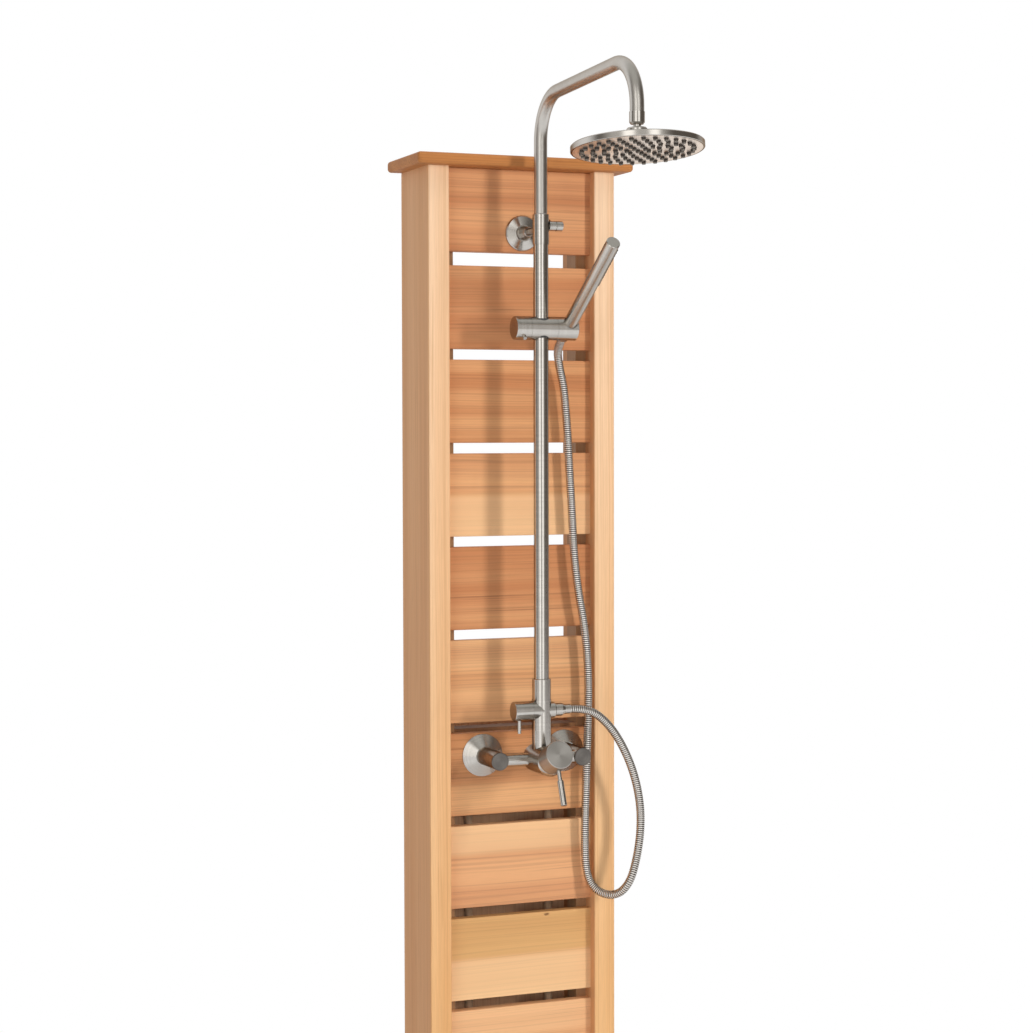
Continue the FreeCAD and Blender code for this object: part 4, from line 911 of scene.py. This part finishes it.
# ---------------------------------------------------------------------------------------------
# Hose
# ---------------------------------------------------------------------------------------------
@dataclass
class Hose:
    """The ribbed steel hose, one tube for each stretch of its route."""

    diameter: float = 0.014
    pitch: float = 0.0036
    groove: float = 0.0011
    rib_rings: int = 4
    sides: int = 20
    top_from: float = 1.655
    route: Sequence[Point] = (
        (0.057, -0.13485, 1.229), (0.092, -0.135, 1.229), (0.130, -0.1345, 1.199),
        (0.157, -0.134, 1.159), (0.178, -0.133, 1.111), (0.190, -0.1315, 1.060),
        (0.191, -0.131, 1.012), (0.183, -0.132, 0.965), (0.1694, -0.1341, 0.9246),
        (0.1543, -0.1147, 0.900), (0.1329, -0.0873, 0.900), (0.1178, -0.0679, 0.9246),
        (0.1125, -0.070, 0.980), (0.114, -0.073, 1.080), (0.1165, -0.076, 1.190),
        (0.118, -0.076, 1.275), (0.1115, -0.076, 1.357), (0.099, -0.076, 1.420),
        (0.091, -0.075, 1.485), (0.0875, -0.074, 1.565), (0.0834, -0.0744, 1.625),
        (0.0805, -0.074, 1.685), (0.077, -0.074, 1.730), (0.073, -0.0743, 1.772),
        (0.063, -0.0764, 1.810), (0.054, -0.0895, 1.83693), (0.054, -0.1126, 1.85281))

    def line(self) -> list[Vector]:
        """The route's smooth centre line.

        Returns:
            Points close together, from the diverter to the cone nut.
        """
        curve = bpy.data.curves.new("Hose route", "CURVE")
        curve.dimensions = "3D"
        curve.resolution_u = 48
        spline = curve.splines.new("NURBS")
        spline.points.add(len(self.route) - 1)
        for point, place in zip(spline.points, self.route):
            point.co = (*place, 1.0)
        spline.order_u = 3
        spline.use_endpoint_u = True
        holder = bpy.data.objects.new("Hose route", curve)
        bpy.context.scene.collection.objects.link(holder)
        bpy.context.view_layer.update()
        mesh = bpy.data.meshes.new_from_object(holder)
        points = [vertex.co.copy() for vertex in mesh.vertices]
        bpy.data.objects.remove(holder)
        return points

    @staticmethod
    def even(points: list[Vector], step: float) -> list[Vector]:
        """The same line in equal steps.

        Args:
            points: the line.
            step: the wanted distance between points, in metres.

        Returns:
            Points at equal distances, both ends kept.
        """
        lengths = [0.0]
        for before, after in zip(points, points[1:]):
            lengths.append(lengths[-1] + (after - before).length)
        count = max(2, round(lengths[-1] / step))
        made, cursor = [], 0
        for number in range(count + 1):
            wanted = lengths[-1] * number / count
            while cursor < len(points) - 2 and lengths[cursor + 1] < wanted:
                cursor += 1
            span = lengths[cursor + 1] - lengths[cursor]
            share = (wanted - lengths[cursor]) / span if span else 0.0
            made.append(points[cursor].lerp(points[cursor + 1], min(1.0, max(0.0, share))))
        return made

    def tube(self, name: str, line: list[Vector],
             material: bpy.types.Material) -> bpy.types.Object:
        """One stretch of hose as rings of quads: of a rib's rings the last is its valley.

        Args:
            name: the object's name.
            line: the centre line, with one point for each ring of a rib.
            material: its finish.

        Returns:
            The stretch of hose.
        """
        sides = self.sides
        crest, valley = self.diameter / 2, self.diameter / 2 - self.groove
        form = (crest,) * (self.rib_rings - 1) + (valley,)
        mesh = bmesh.new()
        layer = mesh.loops.layers.uv.new("UVMap")
        rings = []
        steady = Vector((1.0, 1.0, 0.0))
        for number, place in enumerate(line):
            ahead = line[min(number + 1, len(line) - 1)] - line[max(number - 1, 0)]
            ahead.normalize()
            first = (steady - ahead * steady.dot(ahead)).normalized()
            second = ahead.cross(first)
            radius = form[number % len(form)]
            rings.append([mesh.verts.new(place + (first * math.cos(t) + second * math.sin(t))
                                         * radius)
                          for t in (2 * math.pi * side / sides for side in range(sides))])
        for number, (near, far) in enumerate(zip(rings, rings[1:])):
            for side in range(sides):
                after = (side + 1) % sides
                quad = mesh.faces.new((near[side], near[after], far[after], far[side]))
                quad.smooth = True
                spots = ((number, side), (number, side + 1), (number + 1, side + 1),
                         (number + 1, side))
                for loop, (u, v) in zip(quad.loops, spots):
                    loop[layer].uv = (u / len(form), v / sides)
        for end in (rings[0][::-1], rings[-1]):
            mesh.faces.new(end)
        data = bpy.data.meshes.new(name)
        mesh.to_mesh(data)
        mesh.free()
        data.materials.append(material)
        tube = bpy.data.objects.new(name, data)
        bpy.context.scene.collection.objects.link(tube)
        return tube

    def build(self, groups: Groups) -> None:
        """Args:
            groups: the shared shader groups.
        """
        material = self.finish(groups)
        line = self.even(self.line(), self.pitch / self.rib_rings)
        bottom = min(range(len(line)), key=lambda n: line[n].z)
        above = next(n for n in range(bottom, len(line)) if line[n].z > self.top_from)
        bottom -= bottom % self.rib_rings
        above -= above % self.rib_rings
        stretches = (("hose_lower_tube", "hose_lower", line[:bottom + 1]),
                     ("hose_middle_tube", "hose_middle", line[bottom:above + 1]),
                     ("hose_top_tube", "hose_top", line[above:]))
        for name, node, points in stretches:
            tube = self.tube(name, points, material)
            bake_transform(tube)
            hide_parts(node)

    @staticmethod
    def finish(groups: Groups) -> bpy.types.Material:
        """Bright ribs with painted shade in the grooves between them.

        Args:
            groups: the shared shader groups.

        Returns:
            The hose's material.
        """
        made, s, surface, place = new_material("Hose steel")
        valley = 0.75
        flat = s.add("SeparateXYZ", Vector=s.add("UVMap", {"uv_map": "UVMap"}).outputs[0])
        turn = s.math("FRACT", flat.outputs[0])
        # Painted shade: the grooves are coloured near black, for the shade between the ribs.
        groove = s.ramp(s.math("ABSOLUTE", s.math("SUBTRACT", turn, valley)), 0.26, 0.10)
        marks = s.add("Group", {"node_tree": groups.weather}, Vector=place).outputs["Marks"]
        colour = s.blend(groove, (0.78, 0.75, 0.71), (0.06, 0.04, 0.03))
        colour = s.blend(s.math("MULTIPLY", marks, 0.25), colour, (0.40, 0.37, 0.34))
        s.fill(surface, "Base Color", colour)
        worn = s.math("ADD", groove, s.math("MULTIPLY", marks, 0.4))
        s.fill(surface, "Roughness", s.spread(worn, (0.22, 0.5)))
        surface.inputs["Metallic"].default_value = 1.0
        # Painted reflection: a brown tint darkens the grazing reflection at the hose's edges.
        surface.inputs["Specular Tint"].default_value = (0.22, 0.16, 0.12, 1.0)
        return made


# ---------------------------------------------------------------------------------------------
# Studio
# ---------------------------------------------------------------------------------------------
@dataclass
class Studio:
    """Camera, lamps, floor and the white surround."""

    eye: Point = (-1.4064, -3.5669, 1.6948)
    yaw: float = 21.73
    pitch: float = -2.13
    roll: float = -0.125
    lens: float = 77.384
    sensor: float = 36.0
    frame_px: float = 1033.0
    centre_row: float = 515.0
    wash: tuple[float, float] = (-80.0, 26.0)
    first_strip: tuple[float, float] = (-50.0, -30.0)
    second_strip: tuple[float, float] = (-4.0, 14.0)
    ambient_front: Colour = (0.26, 0.25, 0.24)
    ambient_back: Colour = (0.75, 0.75, 0.75)
    ground: Colour = (0.17, 0.12, 0.085)
    wall: Colour = (0.13, 0.115, 0.10)
    ceiling: Colour = (0.55, 0.55, 0.52)
    floor_radius: float = 9.0
    floor_drop: float = 0.0005
    floor_fade: tuple[float, float] = (0.9, 2.0)

    def camera(self) -> None:
        """Stand the camera where the photograph was taken."""
        yaw, pitch, roll = (math.radians(a) for a in (self.yaw, self.pitch, self.roll))
        ahead = Vector((math.sin(yaw) * math.cos(pitch), math.cos(yaw) * math.cos(pitch),
                        math.sin(pitch)))
        right = Vector((math.cos(yaw), -math.sin(yaw), 0.0))
        up = right.cross(ahead)
        level, rise = (right * math.cos(roll) + up * math.sin(roll),
                       up * math.cos(roll) - right * math.sin(roll))
        data = bpy.data.cameras.new("Camera")
        data.sensor_width, data.lens = self.sensor, self.lens
        data.shift_y = (self.centre_row - self.frame_px / 2) / self.frame_px
        data.clip_end = 60.0
        camera = bpy.data.objects.new("Camera", data)
        camera.matrix_world = Matrix((
            (level.x, rise.x, -ahead.x, self.eye[0]), (level.y, rise.y, -ahead.y, self.eye[1]),
            (level.z, rise.z, -ahead.z, self.eye[2]), (0.0, 0.0, 0.0, 1.0)))
        bpy.context.scene.collection.objects.link(camera)
        bpy.context.scene.camera = camera

    @staticmethod
    def lamp(name: str, place: Point, aim: Point, size: tuple[float, float],
             power: float) -> None:
        """Add a soft rectangular lamp; what metal mirrors comes from the surround alone.

        Args:
            name: the lamp's name.
            place: where it stands.
            aim: the point that it faces.
            size: its width and height in metres.
            power: its power in watts.
        """
        data = bpy.data.lights.new(name, "AREA")
        data.shape = "RECTANGLE"
        data.size, data.size_y = size
        data.energy = power
        lamp = bpy.data.objects.new(name, data)
        lamp.visible_glossy = False
        lamp.location = place
        lamp.rotation_euler = (Vector(aim) - Vector(place)).to_track_quat("-Z", "Y").to_euler()
        bpy.context.scene.collection.objects.link(lamp)

    def surround(self) -> None:
        """White behind the object; behind the camera a dim room, a pale wash and two soft boxes."""
        world = bpy.data.worlds.new("Surround")
        bpy.context.scene.world = world
        world.use_nodes = True
        s = Shader(world.node_tree)
        backing = world.node_tree.nodes["Background"]
        path = s.add("LightPath")
        direction = s.add("SeparateXYZ", Vector=s.add("TexCoord").outputs["Generated"])
        right, back, rise = direction.outputs
        behind = s.ramp(back, 0.05, 0.55)
        bearing = s.math("MULTIPLY", s.math("ARCTAN2", right, s.math("MULTIPLY", back, -1.0)),
                         180.0 / math.pi)
        level = s.math("MULTIPLY", s.ramp(rise, -0.35, -0.12), s.ramp(rise, 0.75, 0.5))

        def strip(low: float, high: float, soft: float) -> bpy.types.NodeSocket:
            """A mask of an upright strip between two bearings, with soft sides."""
            across = s.math("MULTIPLY", s.ramp(bearing, low - soft, low + soft),
                            s.ramp(bearing, high + soft, high - soft))
            return s.math("MULTIPLY", across, level)

        room = s.blend(s.ramp(rise, -0.5, 0.3), self.ground, self.wall)
        room = s.blend(s.ramp(rise, 0.45, 0.95), room, self.ceiling)
        for sides, soft, light in ((self.wash, 16.0, (0.62, 0.60, 0.57)),
                                   (self.first_strip, 4.0, (1.75, 1.72, 1.66)),
                                   (self.second_strip, 4.0, (1.75, 1.73, 1.68))):
            room = s.blend(strip(*sides, soft), room, light)
        mirrored = s.blend(behind, room, (1.0, 1.0, 1.0))
        plain = s.blend(behind, self.ambient_front, self.ambient_back)
        seen = s.blend(path.outputs["Is Glossy Ray"], plain, mirrored)
        through = s.math("MAXIMUM", path.outputs["Is Camera Ray"],
                         path.outputs["Is Transmission Ray"])
        s.fill(backing, "Color", s.blend(through, seen, (1.0, 1.0, 1.0)))
        backing.inputs["Strength"].default_value = 1.0

    def floor(self) -> None:
        """A wide pale floor that keeps the shadow and fades into the white surround."""
        deselect()
        bpy.ops.mesh.primitive_circle_add(vertices=96, radius=self.floor_radius,
                                          fill_type="NGON", location=(0.0, 0.0, -self.floor_drop))
        floor = bpy.context.object
        floor.name = "Floor"
        made, s, surface, place = new_material("Floor")
        surface.inputs["Base Color"].default_value = (0.86, 0.86, 0.86, 1.0)
        surface.inputs["Roughness"].default_value = 0.8
        reach = s.vector("LENGTH", place)
        glow = s.add("Emission", Color=(1.0, 1.0, 1.0), Strength=1.0)
        path = s.add("LightPath").outputs
        seen = s.math("MAXIMUM", path["Is Camera Ray"],
                      s.math("MAXIMUM", path["Is Glossy Ray"], path["Is Transmission Ray"]))
        fade = s.math("MULTIPLY", s.ramp(reach, *self.floor_fade), seen)
        mix = s.add("MixShader")
        s.fill(mix, 0, fade)
        s.fill(mix, 1, surface.outputs[0])
        s.fill(mix, 2, glow.outputs[0])
        s.fill(made.node_tree.nodes["Material Output"], "Surface", mix.outputs[0])
        floor.data.materials.append(made)

    def build(self) -> None:
        """Set up the whole studio."""
        self.camera()
        self.surround()
        self.floor()
        self.lamp("Key", (2.05, -3.33, 2.25), (0.0, -0.1, 1.45), (0.45, 1.3), 78.0)
        self.lamp("Fill", (-3.0, -2.2, 1.9), (0.0, 0.0, 1.3), (1.8, 2.4), 31.0)
        self.lamp("Near", (-1.25, -3.45, 1.55), (0.0, 0.0, 1.2), (0.5, 0.5), 15.0)
        self.lamp("Top", (0.2, -0.9, 4.2), (0.0, 0.0, 1.5), (1.4, 1.4), 22.0)
        bpy.context.scene.view_settings.view_transform = "Standard"


def main() -> None:
    """Dress the part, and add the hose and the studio."""
    logging.basicConfig(level=logging.INFO, format="%(name)s: %(message)s")
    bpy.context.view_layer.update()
    groups = Groups()
    Column().dress(groups)
    ShowerSet().dress(groups)
    Hose().build(groups)
    Studio().build()


if __name__ == "__main__":
    main()
